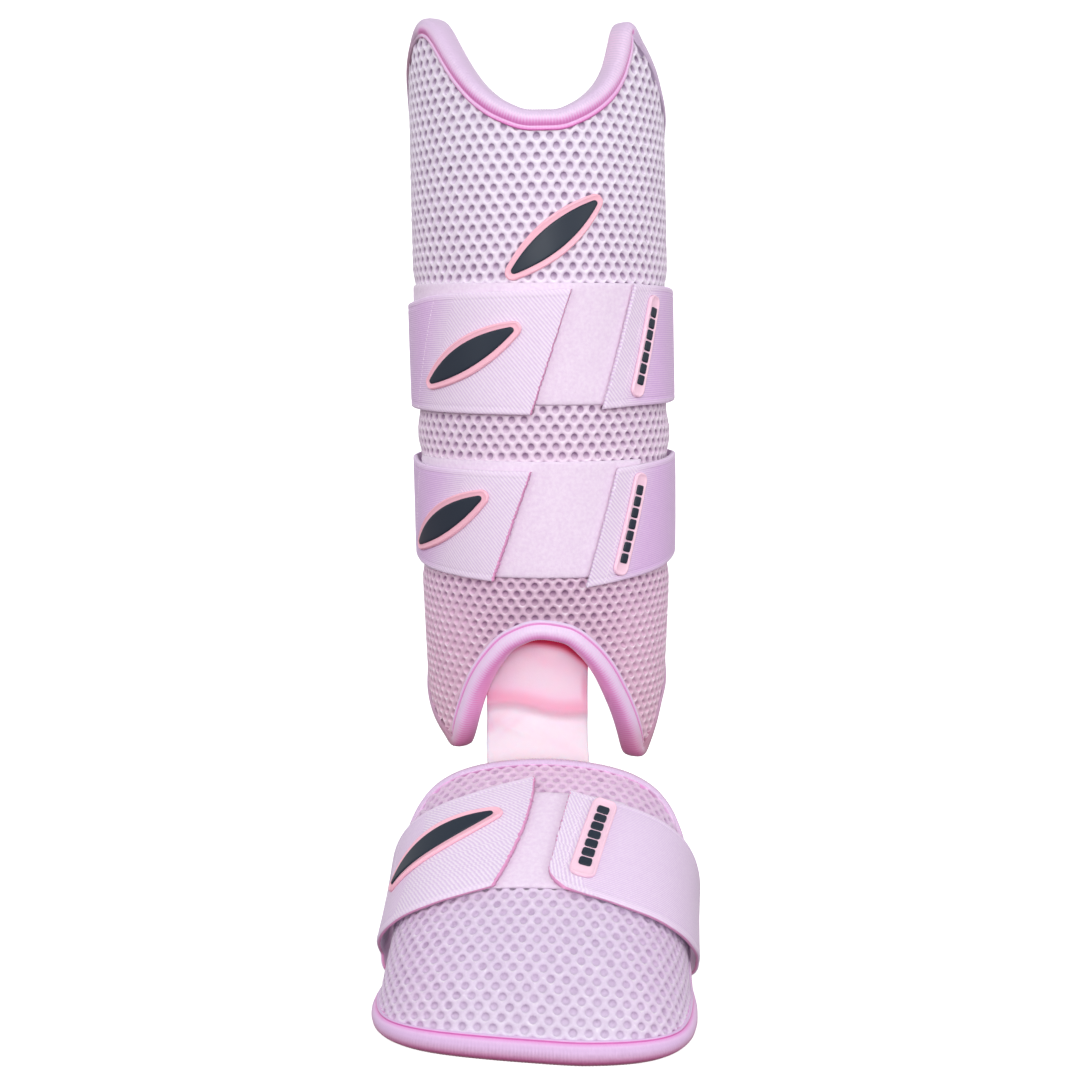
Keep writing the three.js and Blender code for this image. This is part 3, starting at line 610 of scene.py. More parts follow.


# Knit colours by pit: a near-white strand, then mauve to dark in a hole, partly the under layer and partly
# painted shade
MESH_STOPS = (
    (0.1, tint(243, 237, 249)), (0.4, tint(222, 210, 228)),
    (0.7, tint(168, 147, 176)), (1.0, tint(94, 76, 100)),
)
# Binding colours by depth: pale lilac where lit, through pink to the deep magenta of painted shade
EDGING_STOPS = (
    (0.0, tint(226, 206, 235)), (0.14, tint(238, 215, 242)), (0.3, tint(239, 200, 238)),
    (0.55, tint(236, 152, 216)), (1.0, tint(206, 90, 168)),
)
# Tongue colours by pit, from pale to the deep red of the painted shade under the arch
TONGUE_STOPS = (
    (0.0, tint(253, 228, 236)), (0.4, tint(254, 208, 225)),
    (0.7, tint(249, 172, 197)), (1.0, tint(218, 56, 96)),
)
knit = mesh_material()
lining = plain_cloth("lining", tint(250, 204, 222), 1800.0, 0.0002)
edging = edging_material()
elastic = elastic_material()
loop = loop_material()
salmon = tongue_material()
hook = plain_cloth("hook", tint(230, 160, 204), 1800.0, 0.0002)
badge_pink = new_material("badge_pink", tint(253, 194, 210), 0.5)
label_pink = new_material("label_pink", tint(251, 212, 230), 0.5)
badge_black = new_material("badge_black", tint(40, 50, 62), 0.4)
thread = new_material("thread", tint(246, 230, 248), 0.7, 0.2)

# Mesh fabric: staggered rows of round holes, which lean in at the sides of the shin
HOLE_PITCH = 5.25
HOLE_ROW = 3.5
HOLE_RADIUS = 1.42
STRAND_CREST = 0.1
CREST_NOISE = 0.05
STRAND_PIT = 0.15
PIT_NOISE = 0.04
CORE_OUT = -1.7
# Hole rings: size, out, drop, and the pit at foot and head; the higher head pit is painted shade under the
# upper rim, a foot of 0 a painted glint
HOLE_RINGS = rows("size out drop foot head", [
    (1.24, -0.1, 0.0, 0.0, 0.45), (1.0, -0.62, 0.05, 0.25, 1.0), (0.72, -1.35, 0.3, 0.4, 0.8),
])
HIDDEN_INSET = 4.5
SHIN_STRETCH = rows("height share", [(-150, 0.95), (-95, 0.97), (-18, 1.07), (90, 1.15), (150, 1.16)])
FOOT_STRETCH = rows("height share", [(-160, 1.11), (20, 1.11)])
KNIT_REACH = 200
KNIT_LENGTH = 320
CORNER_STEPS = 50
TOP_WIDENING = 0.05
WIDENING_HEIGHTS = (0, 100)
SHIN_LEAN = 0.55
LEAN_REACH = (12, 40)
LOW_SIDE_FADE = 0.4
FADE_ACROSS = (24, 44)
FADE_DOWN = (78, 100)
CORE_GRID = (70, 32)
# Painted shade on the shin: darker and pinker towards the bottom, and darker still low at the front
SHIN_SHADE_TONES = rows("height red green blue", [
    (-150, 0.88, 0.64, 0.68), (-125, 0.93, 0.68, 0.75), (-95, 0.95, 0.72, 0.80), (-18, 0.96, 0.86, 0.9),
    (100, 1, 1, 1),
])
# Foot knit tone: a pinker tint, with painted shade that varies with height and darkens the sides
FOOT_TINT_AND_SHADE = rows("height red green blue", [
    (-235, 0.89, 0.85, 0.9), (-208, 0.85, 0.78, 0.86), (-185, 0.87, 0.78, 0.86), (-150, 0.96, 0.73, 0.84),
])
FOOT_SIDE = (22, 50)
FOOT_SIDE_SHADE = np.array([0.02, 0.08, 0.04])
# Painted shade tones: under a binding's roll and on the shin's upper left tip, and on its two lower tips
UNDER_SHADE_TONE = np.array([0.58, 0.33, 0.36])
TIP_SHADE_TONE = np.array([0.82, 0.66, 0.64])
LOW_FRONT = (2.0, 26.0)
LOW_FRONT_HEIGHTS = (-95, -60)
LOW_FRONT_SHADE = 0.22
GLINT_LOSS = 0.05


def cell_border():
    """Twelve places round a hole's cell, which is a hexagon with a corner up."""
    lean = HOLE_PITCH ** 2 / (8 * HOLE_ROW)
    tip = HOLE_ROW / 2 + lean
    shoulder = HOLE_ROW / 2 - lean
    half = HOLE_PITCH / 2
    corners = np.array([
        (0, tip), (half, shoulder), (half, -shoulder), (0, -tip), (-half, -shoulder), (-half, shoulder),
    ])
    middles = (corners + np.roll(corners, -1, axis=0)) / 2
    return np.stack([corners, middles], 1).reshape(-1, 2)


def sway(places):
    """Slight unevenness of the knit, in millimetres."""
    x, y = places[..., 0], places[..., 1]
    shift_x = 0.35 * np.sin(y / 23 + 0.8 * np.sin(x / 31)) + 0.15 * np.sin(y / 7.3 + x / 19)
    shift_y = 0.4 * np.sin(x / 27 + 0.6 * np.sin(y / 41)) + 0.12 * np.sin(x / 8.1 - y / 13)
    return np.stack([x + shift_x, y + shift_y], -1)


def set_knit(panel, middle, table, covered, lean=0.0, fade=0.0):
    """Gives a panel its knit: the middle row's height, the stretch along the panel, the hidden places,
    how far the holes lean in at its sides, and how much paler they get there."""
    heights = np.linspace(middle - KNIT_REACH, middle + KNIT_REACH, 2 * KNIT_REACH + 1)
    steps = np.diff(heights) / column(table, "height", "share")((heights[1:] + heights[:-1]) / 2)
    runs = running(steps)
    panel.knit_heights = heights
    panel.knit_runs = runs - np.interp(middle, heights, runs)
    panel.lean = lean
    panel.fade = fade
    panel.covered = covered


def on_panel(panel, places):
    """Places on a panel of places in its flat knit."""
    x, y = np.moveaxis(sway(places), -1, 0)
    height = np.interp(y, panel.knit_runs, panel.knit_heights)
    return np.stack([x * (1 + TOP_WIDENING * smooth(height, *WIDENING_HEIGHTS)), height], -1)


def mesh_fabric(panel, contrast, hole_share):
    """Points, faces and pits of the holed outer layer: the pit is 0 at a painted glint and 1 deep in a hole's
    painted shade.
    """
    edge = cell_border()
    half_rows = int(KNIT_LENGTH / HOLE_ROW / 2)
    half_columns = int(panel.half / HOLE_PITCH) + 2
    i, j = np.meshgrid(np.arange(-half_columns, half_columns + 1), np.arange(-half_rows, half_rows + 1))
    centres = np.stack([(i + 0.5 * (j % 2)) * HOLE_PITCH, j * HOLE_ROW], -1).reshape(-1, 2)
    ring = centres[:, None, :] + edge[None]
    moved = on_panel(panel, ring)
    kept = panel.holds(moved[..., 0], moved[..., 1]).all(axis=1)
    centres = centres[kept]
    ring = ring[kept]
    keys = np.round(ring.reshape(-1, 2) * CORNER_STEPS).astype(np.int64)
    _, first, shared = np.unique(keys, axis=0, return_index=True, return_inverse=True)
    shared = shared.reshape(-1, len(edge))
    rim_places = on_panel(panel, ring.reshape(-1, 2)[first])
    across, along = on_panel(panel, centres).T
    hidden = panel.covered(across, along)
    # Holes low at the sides get a lighter share of the painted hole shade
    paler = 1 - panel.fade * smooth(np.abs(across), *FADE_ACROSS) * smooth(-along, *FADE_DOWN)
    paler = paler[~hidden][:, None]
    faces = shared[hidden][:, ::-1].tolist()
    outer = shared[~hidden]
    centres = centres[~hidden]
    direction = unit(edge)
    oval = direction * HOLE_RADIUS * hole_share
    height = (1 + direction[:, 1]) / 2
    lean = panel.lean * np.sign(centres[:, :1]) * smooth(np.abs(centres[:, :1]), *LEAN_REACH)
    crest_out = STRAND_CREST + CREST_NOISE * noise.standard_normal(len(rim_places))
    layers = [panel.place(rim_places[:, 0], rim_places[:, 1], crest_out)]
    pits = [STRAND_PIT + PIT_NOISE * noise.standard_normal(len(rim_places))]
    start = len(rim_places)
    for row in HOLE_RINGS:
        places = centres[:, None, :] + row["size"] * oval[None] - np.array([0, row["drop"]])
        places[..., 0] -= lean * row["size"] * oval[:, 1]
        places = on_panel(panel, places)
        layers.append(panel.place(places[..., 0], places[..., 1], row["out"]).reshape(-1, 3))
        dull = GLINT_LOSS * np.abs(noise.standard_normal(len(centres)))
        deep = contrast * paler * mix(row["foot"], row["head"], height)
        pits.append((deep + dull[:, None]).ravel())
        inner = start + np.arange(outer.size).reshape(outer.shape)
        start += outer.size
        quads = np.stack([outer, np.roll(outer, -1, 1), np.roll(inner, -1, 1), inner], -1).reshape(-1, 4)
        faces.extend(quads[:, ::-1].tolist())
        outer = inner
    faces.extend(outer[:, ::-1].tolist())
    return np.concatenate(layers), faces, np.concatenate(pits)


def core(panel):
    """Padded body behind the holed layer."""
    wide, tall = CORE_GRID
    across = np.linspace(-panel.half, panel.half, wide)
    share = (1 - np.cos(np.linspace(0, math.pi, tall))) / 2
    low = panel.lower(across)
    high = panel.upper(across)
    along = mix(low[None], high[None], share[:, None])
    grids = []
    for out in (-PANEL_THICKNESS, CORE_OUT):
        grids.append(panel.place(np.broadcast_to(across, along.shape), along, out))
    return slab(*grids)


def padded_panel(name, panel, contrast, hole_share, tone_at, node_name):
    points, faces, pit = mesh_fabric(panel, contrast, hole_share)
    body_points, body_faces = core(panel)
    inner = np.arange(len(body_faces)) < (CORE_GRID[0] - 1) * (CORE_GRID[1] - 1)
    numbers = [0] * len(faces) + inner.astype(int).tolist()
    faces = faces + (body_faces + len(points)).tolist()
    pit = np.concatenate([pit, np.full(len(body_points), 0.5 * contrast)])
    points = np.concatenate([points, body_points])
    # The tone field carries painted shade, and on the foot also a pinker tint
    obj = make(name, points, faces, [knit, lining], numbers, pit=pit, tone=tone_at(points))
    own(obj, "mesh", node_name)


def between(value, low, high):
    """Whether values lie well inside a range."""
    return (value > low + HIDDEN_INSET) & (value < high - HIDDEN_INSET)


def shin_covered(across, along):
    """Whether places lie well behind a loop patch, or behind a strap at the side of it."""
    angle = shin.angle(across)
    hidden = np.zeros(np.shape(angle), bool)
    for patch, strap in ((UPPER_PATCH, UPPER_STRAP), (LOWER_PATCH, LOWER_STRAP)):
        front = between(angle, patch["start"], patch["stop"])
        low = max(row["bottom"] for row in strap["edges"])
        high = min(row["top"] for row in strap["edges"])
        hidden |= front & between(along, patch["bottom"], patch["top"])
        hidden |= ~front & between(along, low, high)
    return hidden


def foot_covered(across, along):
    front = between(foot.angle(across), FOOT_PATCH["start"], FOOT_PATCH["stop"])
    return front & between(-along, FOOT_PATCH["top"], FOOT_PATCH["bottom"])


set_knit(shin, 0.0, SHIN_STRETCH, shin_covered, SHIN_LEAN, LOW_SIDE_FADE)
set_knit(foot, -FOOT_MIDDLE, FOOT_STRETCH, foot_covered)


def tones_at(table, height):
    return np.stack([column(table, "height", part)(height) for part in ("red", "green", "blue")], 1)


# Per-point painted shade for the shin's knit and its narrow binding
def shin_shade_tones(points):
    x, _, z = points.T
    low_front = bump(x, *LOW_FRONT) * (1 - smooth(z, *LOW_FRONT_HEIGHTS))
    return tones_at(SHIN_SHADE_TONES, z) * (1 - LOW_FRONT_SHADE * low_front)[:, None]


def foot_tint_and_shade(points):
    x, _, z = points.T
    return tones_at(FOOT_TINT_AND_SHADE, z) * (1 - FOOT_SIDE_SHADE * smooth(np.abs(x), *FOOT_SIDE)[:, None])


padded_panel("shin_mesh", shin, contrast=0.8, hole_share=0.96, tone_at=shin_shade_tones, node_name="shin_panel")
padded_panel("foot_mesh", foot, contrast=0.5, hole_share=0.95, tone_at=foot_tint_and_shade, node_name="foot_panel")

# Edge binding: a ribbed roll round each panel's border, with a valley and a flat lip on the mesh
RIB_PITCH = 1.15
RIB_STEPS = 4
RIB_HEIGHT = 0.07
RIB_SHADE = 0.05
CLOSED_LIP_PIT = 0.5
BINDING_REST = 0.35
TIGHTEST_TURN = 1.6
LEAST_LIP = 0.4
CORNER_SMOOTHING = 3.0
TURN_SMOOTHING = 6.0
BREADTH_SMOOTHING = 12.0
FULL_BREADTH = (0.5, 0.9)
NARROW_SHIN_TONE = 0.88
NARROW_SHIN_PITS = (-0.25, -0.8)
NARROW_SHIN_HEIGHTS = (0, 60)
VALLEY_LOSS = 0.65
VALLEY_LOSS_ACROSS = (-34, -8)
VALLEY_LOSS_HEIGHTS = (0, 60, 120, 134)
DARK_TIP_HEIGHTS = (-136, -154)
TIP_SHADE = 0.8
TIP_SHADE_SIDE = (48.5, 51.5)
TIP_SHADE_HEIGHT = (137.0, 11.0)
NARROW_FOOT_TONE = np.array([1.0, 0.92, 0.96])
NARROW_FOOT_PIT = 0.12
LIP = 6.5
VALLEY = 4.75
# Section rows: into, out, rib, pit and under; pit is painted shade, deepest in the valley, under the share of
# painted underside shade
BINDING_SECTION = rows("into out rib pit under", [
    (6.5, -0.3, 0, 0.5, 0), (6.5, 0.75, 0.2, 0.2, 0), (6.0, 1.0, 0.4, 0.05, 0), (5.1, 1.0, 0.4, 0.22, 0),
    (VALLEY, 0.7, 0, 0.5, 0), (4.4, 1.05, 0.5, 0.42, 0), (3.4, 1.75, 1, 0.2, 0), (2.0, 2.2, 1, 0.03, 0.1),
    (0.6, 2.15, 1, 0, 0.4), (-0.8, 1.6, 1, 0.02, 0.8), (-1.7, 0.4, 1, 0.06, 1), (-2.15, -1.6, 1, 0.1, 1),
    (-2.2, -3.6, 1, 0.15, 1), (-2.1, -5.6, 1, 0.15, 1), (-1.6, -7.4, 1, 0.15, 1), (-0.4, -8.5, 1, 0.2, 1),
    (1.4, -8.9, 1, 0.25, 1), (4.0, -8.5, 0.6, 0.3, 1), (5.0, -7.9, 0.3, 0.4, 1), (5.0, -6.5, 0, 0.4, 1),
])


def circular_smooth(values, width):
    """Gaussian smoothing of a closed run of values, in places."""
    count = len(values)
    waves = np.fft.fftfreq(count)
    kernel = np.exp(-2 * (math.pi * waves * width) ** 2)
    spread = kernel.reshape(-1, *[1] * (values.ndim - 1))
    return np.real(np.fft.ifft(np.fft.fft(values, axis=0) * spread, axis=0))


def even_loop(loop_points, spacing):
    """Closed line resampled to even steps of about the given spacing."""
    closed = np.concatenate([loop_points, loop_points[:1]])
    lengths = running(np.linalg.norm(np.diff(closed, axis=0), axis=1))
    count = int(round(lengths[-1] / spacing))
    at = np.arange(count) * lengths[-1] / count
    return np.stack([np.interp(at, lengths, closed[:, k]) for k in (0, 1)], 1)


def panel_border(panel, spacing):
    across = np.linspace(-panel.half, panel.half, 900)
    low = np.stack([across, panel.lower(across)], 1)
    high = np.stack([across, panel.upper(across)], 1)[::-1]
    fine = even_loop(np.concatenate([low, high]), 0.5)
    return even_loop(circular_smooth(fine, CORNER_SMOOTHING), spacing)


def binding(name, panel, breadth_at, look, node_name):
    """Binding round a panel; where it is narrow, it has the look's pit and tone for narrow parts."""
    line = panel_border(panel, RIB_PITCH / RIB_STEPS)
    count = len(line) // RIB_STEPS * RIB_STEPS
    line = line[:count]
    heading = np.roll(line, -1, 0) - np.roll(line, 1, 0)
    step = np.linalg.norm(heading, axis=1) / 2
    heading = unit(circular_smooth(heading, TURN_SMOOTHING))
    inward = np.stack([-heading[:, 1], heading[:, 0]], 1)
    course = np.unwrap(np.arctan2(heading[:, 1], heading[:, 0]))
    bend = (np.roll(course, -1) - np.roll(course, 1)) / (2 * step)
    bend[[0, -1]] = bend[[1, -2]]
    radius = 1 / np.maximum(bend, 1e-3)
    breadth = circular_smooth(breadth_at(panel.angle(line[:, 0]), line[:, 1]), BREADTH_SMOOTHING)
    lip = np.clip(radius / (TIGHTEST_TURN * LIP * breadth), LEAST_LIP, 1)
    lip = circular_smooth(lip, BREADTH_SMOOTHING)
    keys = ("into", "out", "rib", "pit", "under")
    into, out, rib, pit, under = (np.array([row[key] for row in BINDING_SECTION], float) for key in keys)
    into = np.where(into > VALLEY, mix(VALLEY, into, look["lip"]), into)
    edge = unit(np.stack([np.roll(out, -1) - np.roll(out, 1), np.roll(into, 1) - np.roll(into, -1)], 1))
    wave = np.cos(2 * math.pi * np.arange(count) / RIB_STEPS)[:, None]
    scale = np.where(into > 0, (lip * breadth)[:, None], 1)
    height = np.where(out > BINDING_REST, mix(BINDING_REST, out, np.minimum(1, breadth)[:, None]), out)
    into_all = into * scale - edge[:, 0] * rib * RIB_HEIGHT * wave
    out_all = height - edge[:, 1] * rib * RIB_HEIGHT * wave
    across = line[:, None, 0] + into_all * inward[:, None, 0]
    along = line[:, None, 1] + into_all * inward[:, None, 1]
    grid = panel.place(across, along, out_all)
    points = grid.reshape(-1, 3)
    faces = outward(points, tube(grid, True))
    full = smooth(breadth, *FULL_BREADTH)[:, None]
    valley = look["valley"](line)[:, None]
    shade = RIB_SHADE * mix(look["ribs"], 1, valley)
    closed = CLOSED_LIP_PIT * (1 - valley) * (into > VALLEY)
    depth = mix(look["narrow"](line)[:, None], look["pit"] * pit * valley + closed, full)
    depth = depth + shade * rib * (1 - wave) / 2
    # Painted shade in the tone: narrow parts, undersides, the upper left tip and the lower tips; the look's
    # tone is a tint
    tone = mix(look["narrow_tone"](points), look["tone"], np.repeat(full, len(pit), axis=0))
    below = look["under"] * np.tile(under, count)[:, None]
    tone = tone * mix(1, UNDER_SHADE_TONE, below) * mix(1, UNDER_SHADE_TONE, look["shade"](points))
    tone = tone * mix(1, TIP_SHADE_TONE, look["tips"](points))
    obj = make(name, points, faces, [edging], pit=depth, tone=tone)
    own(obj, "binding", node_name)


def shin_breadth(angle, height):
    upper = column(SHIN_BREADTH, "angle", "upper")(angle)
    lower = column(SHIN_BREADTH, "angle", "lower")(angle)
    return np.where(height > 0, upper, lower)


def foot_breadth(angle, along):
    return column(FOOT_BREADTH, "down", "share")(-along)


def shin_valley(line):
    """How deep the valley's painted shade is along the shin's edge: it closes over the middle and right of
    the scoop.
    """
    across, height = line.T
    return 1 - VALLEY_LOSS * smooth(across, *VALLEY_LOSS_ACROSS) * plateau(height, *VALLEY_LOSS_HEIGHTS)


def shin_tip_shade(points):
    """Share of the painted shade at the shin panel's two lower tips."""
    return smooth(points[:, 2:], *DARK_TIP_HEIGHTS)


def shin_shade(points):
    """Share of shade on the outer side of the upper left tip."""
    side = smooth(-points[:, :1], *TIP_SHADE_SIDE)
    return TIP_SHADE * side * bump(points[:, 2:], *TIP_SHADE_HEIGHT)


def nowhere(points):
    return 0 * points[:, 2:]


def shin_narrow(line):
    """Pit of the narrow parts: they stay pale at the top, also where they face down."""
    return mix(*NARROW_SHIN_PITS, smooth(line[:, 1], *NARROW_SHIN_HEIGHTS))


SHIN_EDGE_LOOK = dict(
    lip=1.0, pit=0.95, narrow=shin_narrow, ribs=4.0, under=0.15, valley=shin_valley, tips=shin_tip_shade,
    narrow_tone=lambda points: NARROW_SHIN_TONE * shin_shade_tones(points),
    shade=shin_shade, tone=np.array([1.0, 1.0, 1.0]),
)
FOOT_EDGE_LOOK = dict(
    lip=0.5, pit=2.0, narrow=lambda line: np.full(len(line), NARROW_FOOT_PIT), ribs=1.0, under=1.0,
    narrow_tone=lambda points: np.ones_like(points) * NARROW_FOOT_TONE,
    valley=lambda line: np.ones(len(line)), tips=nowhere,
    shade=nowhere, tone=np.array([0.96, 0.82, 0.94]),
)
binding("shin_edge", shin, shin_breadth, SHIN_EDGE_LOOK, "shin_binding")
binding("foot_edge", foot, foot_breadth, FOOT_EDGE_LOOK, "foot_binding")


# Loop fabric bands: a pile of uneven height
PILE_NOISE = 0.06
PILE_EDGE = (0.5, 0.8)
PATCH_BASE = -0.2


def loop_band(name, point, patch, grid, node_name, size):
    s, t = np.meshgrid(*[np.linspace(0, 1, count) for count in grid])
    angle = mix(patch["start"], patch["stop"], s)
    along = mix(patch["bottom"], patch["top"], t)
    near = np.minimum(np.minimum(s, 1 - s) * size[0], np.minimum(t, 1 - t) * size[1])
    pile = PILE_NOISE * noise.standard_normal(s.shape)
    height = PATCH_OUT + PATCH_THICKNESS - rounded(near, *PILE_EDGE) + pile
    points, faces = slab(point(angle, along, PATCH_BASE), point(angle, along, height))
    obj = make(name, points, faces, [loop])
    own(obj, "loop", node_name)


loop_band("upper_loop_band", shin_point, UPPER_PATCH, (170, 64), "upper_loop_patch", (137, 49.7))
loop_band("lower_loop_band", shin_point, LOWER_PATCH, (150, 62), "lower_loop_patch", (121, 48.2))
loop_band("foot_loop_band", foot_point, FOOT_PATCH, (84, 64), "foot_loop_patch", (58, 50))

# Elastic straps
SEAM_PITCH = 1.8
SEAM_STITCH = rows("along thick", [(-0.6, 0.2), (-0.45, 0.8), (0, 1), (0.45, 0.8), (0.6, 0.2)])
STITCH_HALF_WIDTH = 0.22
STITCH_HALF_HEIGHT = 0.16
STRAP_EDGE = (0.75, 0.3)
GROOVE_DEPTH = 0.14
GROOVE = (3.0, 0.4)
SELVAGE_PALE = 0.45
SELVAGE = (1.6, 2.6)
SCALLOP_PITCH = 1.9
SCALLOP_DEPTH = 0.22
SCALLOP_NOISE = 0.12
END_CURL = 0.35
CURL_LENGTH = 2.5
STITCH_SIDES = 6
SHIN_STRAP_WIDTH = 50.0
FOOT_STRAP_WIDTH = 52.0
MM_PER_DEGREE = 1.03
HOOK_LENGTHS = (40.0, 14.0)
HOOK_SHOWS = 0.5
SHIN_SEAMS = (62.0, -8.0)
FOOT_SEAMS = (66.0, -6.0)
RIGHT_TWILL = (6, 26)
FOOT_TWILLS = ((40, 48), (8, 16))
FLARE_SIDE = (48, 82)
strap_lift = column(STRAP_LIFT, "turn", "out")


def across_shares(width):
    """Shares across a strap, close together by its two edges."""
    near = np.array([0, 0.15, 0.4, 0.8, 1.3, 1.9, 2.4, 2.7, 3.0, 3.3, 3.7, 4.4])
    return np.concatenate([near, np.linspace(5, width - 5, 76), width - near[::-1]]) / width


def end_shares(count):
    """Shares along a strap, close together by its two ends."""
    even = np.linspace(0, 1, count)
    return even - 0.8 * np.sin(2 * math.pi * even) / (2 * math.pi)


def scallops(t, width):
    """How far the cut end of a strap stands out, in small uneven scallops."""
    wave = np.abs(np.sin(math.pi * t * width / SCALLOP_PITCH))
    return SCALLOP_DEPTH * wave + SCALLOP_NOISE * noise.standard_normal(t.shape)


def end_curl(run, back):
    """How far a strap stands off by its two ends."""
    return END_CURL * (np.exp(-run / CURL_LENGTH) + np.exp(-back / CURL_LENGTH))


def strap_profile(t, width):
    """Upper face of a strap across its width: soft edges and a stitched groove by each."""
    from_edge = np.minimum(t, 1 - t) * width
    return STRAP_THICKNESS - rounded(from_edge, *STRAP_EDGE) - GROOVE_DEPTH * bump(from_edge, *GROOVE)


def seam(name, path, normal):
    """Row of short raised stitches along a line of points."""
    lengths = running(np.linalg.norm(np.diff(path, axis=0), axis=1))
    at = np.arange(SEAM_PITCH, lengths[-1] - SEAM_PITCH / 2, SEAM_PITCH)

    def values_at(places, line):
        return np.stack([np.interp(places, lengths, line[:, k]) for k in range(3)], 1)

    centre = values_at(at, path)
    ahead = unit(values_at(at + 0.5, path) - centre)
    up = values_at(at, normal)
    side = np.cross(up, ahead)
    turn = np.arange(STITCH_SIDES) * 2 * math.pi / STITCH_SIDES
    points = []
    faces = []
    for c, a, u, s in zip(centre, ahead, up, side):
        rings = []
        for row in SEAM_STITCH:
            sideways = np.cos(turn)[:, None] * s * STITCH_HALF_WIDTH
            upward = np.sin(turn)[:, None] * u * STITCH_HALF_HEIGHT
            rings.append(c + a * row["along"] + (sideways + upward) * row["thick"])
        stitch = np.array(rings)
        count = stitch.size // 3
        start = len(points) * count
        caps = [list(range(STITCH_SIDES)), list(range(count - STITCH_SIDES, count))[::-1]]
        faces.extend([[start + k for k in face] for face in tube(stitch, False)[:, ::-1].tolist() + caps])
        points.append(stitch.reshape(-1, 3))
    own(make(name, np.concatenate(points), faces, [thread]), "elastic")


def line_across(grid, run, target):
    """Values of a strap's grid at one length along each of its rows."""
    line = []
    for row, lengths, place in zip(grid, run, target):
        line.append([np.interp(place, lengths, row[:, k]) for k in range(3)])
    return np.array(line)


def strap_mesh(name, skin, run, width, tab, node_name, seams, right_hook):
    """Strap from its middle skin; run is its length in millimetres, tab marks the twill part, and right_hook
    says whether the wall of its right end shows the hook cloth."""
    normal = -normals_of(skin)
    t = across_shares(width)
    from_edge = np.minimum(t, 1 - t) * width
    top = skin + normal * (strap_profile(t, width) - STRAP_THICKNESS / 2)[:, None, None]
    base = skin - normal * STRAP_THICKNESS / 2
    # The base juts past the left end so the hook cloth shows there as a pink line, partly standing in for a
    # shadow
    base[:, 0] += HOOK_SHOWS * unit(base[:, 0] - base[:, 1])
    points, faces = slab(base, top)
    weave = np.stack([run, np.broadcast_to(t[:, None] * width, run.shape), tab], -1).reshape(-1, 3)
    pale = SELVAGE_PALE * (1 - smooth(from_edge, *SELVAGE))
    selvage = np.broadcast_to(pale[:, None], run.shape).ravel()
    middle = (run[:-1, :-1] + run[1:, 1:]) / 2
    hooked = (middle < HOOK_LENGTHS[0]) | (middle > run[:-1, -1:] - HOOK_LENGTHS[1])
    tall, wide = run.shape
    edge = np.zeros(wide - 1, int)
    right_end = np.full(tall - 1, right_hook)
    left_end = np.ones(tall - 1, int)
    # Hook cloth on the lower edge wall, the left end wall and, if right_hook, the right end wall: real at the
    # ends, painted shade along the edge
    kinds = np.concatenate([hooked.ravel(), np.zeros(hooked.size, int), edge + 1, right_end, edge, left_end])
    fields = dict(weave=np.concatenate([weave] * 2), pit=np.concatenate([selvage] * 2))
    obj = make(name, points, faces, [elastic, hook], kinds, **fields)
    own(obj, "elastic", node_name)
    for number, distance in enumerate(seams):
        target = run[:, -1] + distance if distance < 0 else np.full(len(run), distance)
        seam(f"{name}_seam_{number}", line_across(top, run, target), line_across(normal, run, target))


def shin_strap(name, strap, node_name, twill):
    """Strap round the leg; twill says where the twill of its left tab fades."""
    bottom = column(strap["edges"], "turn", "bottom")
    top = column(strap["edges"], "turn", "top")
    width = SHIN_STRAP_WIDTH
    t = across_shares(width)[:, None]
    s = end_shares(170)[None]
    start = mix(*strap["left"], t)
    stop = mix(*strap["right"], t) - 360
    turn = mix(start + scallops(t, width), stop - scallops(t, width), s)
    height = mix(bottom(turn), top(turn), t)
    run = (start - turn) * MM_PER_DEGREE
    back = (turn - stop) * MM_PER_DEGREE
    out = strap_lift(turn_from_front(turn)) + STRAP_THICKNESS / 2 + end_curl(run, back)
    skin = shin_point(turn, height, out)
    tab = 1 - smooth(run, *twill) + 1 - smooth(back, *RIGHT_TWILL)
    strap_mesh(name, skin, run, width, tab, node_name, SHIN_SEAMS, 0)


def foot_strap_lift(angle):
    share = np.clip(np.abs(angle) / FOOT_STRAP_SIDE, 0, 1)
    return mix(*FOOT_STRAP_LIFT, share ** 2)


def foot_strap_over(table, angle, t):
    lower = column(table, "angle", "lower")(angle)
    upper = column(table, "angle", "upper")(angle)
    lift = foot_strap_lift(angle)
    flare = FOOT_STRAP_FLARE * smooth(-angle, *FLARE_SIDE) * (1 - t) ** 2
    return foot_point(angle, mix(lower, upper, t), lift + flare + STRAP_THICKNESS / 2)


def foot_strap_under(share, t):
    left = foot_strap_over(FOOT_STRAP_LEFT, np.full(t.shape, -FOOT_STRAP_SIDE), t)
    right = foot_strap_over(FOOT_STRAP_RIGHT, np.full(t.shape, FOOT_STRAP_SIDE), t)
    square = SOLE_RUN["square"]
    turn = math.pi * share
    side = (np.cos(turn) - square * np.cos(3 * turn)) / (1 - square)
    drop = (np.sin(turn) + square * np.sin(3 * turn)) / (1 - square)
    start = np.where((side > 0)[..., None], left, right)
    x = mix((left[..., 0] + right[..., 0]) / 2, start[..., 0], np.abs(side))
    y = mix(start[..., 1], mix(SOLE_RUN["front"], SOLE_RUN["back"], t), drop)
    z = mix(start[..., 2], SOLE_RUN["height"], drop)
    return np.stack([x, y, z], -1)


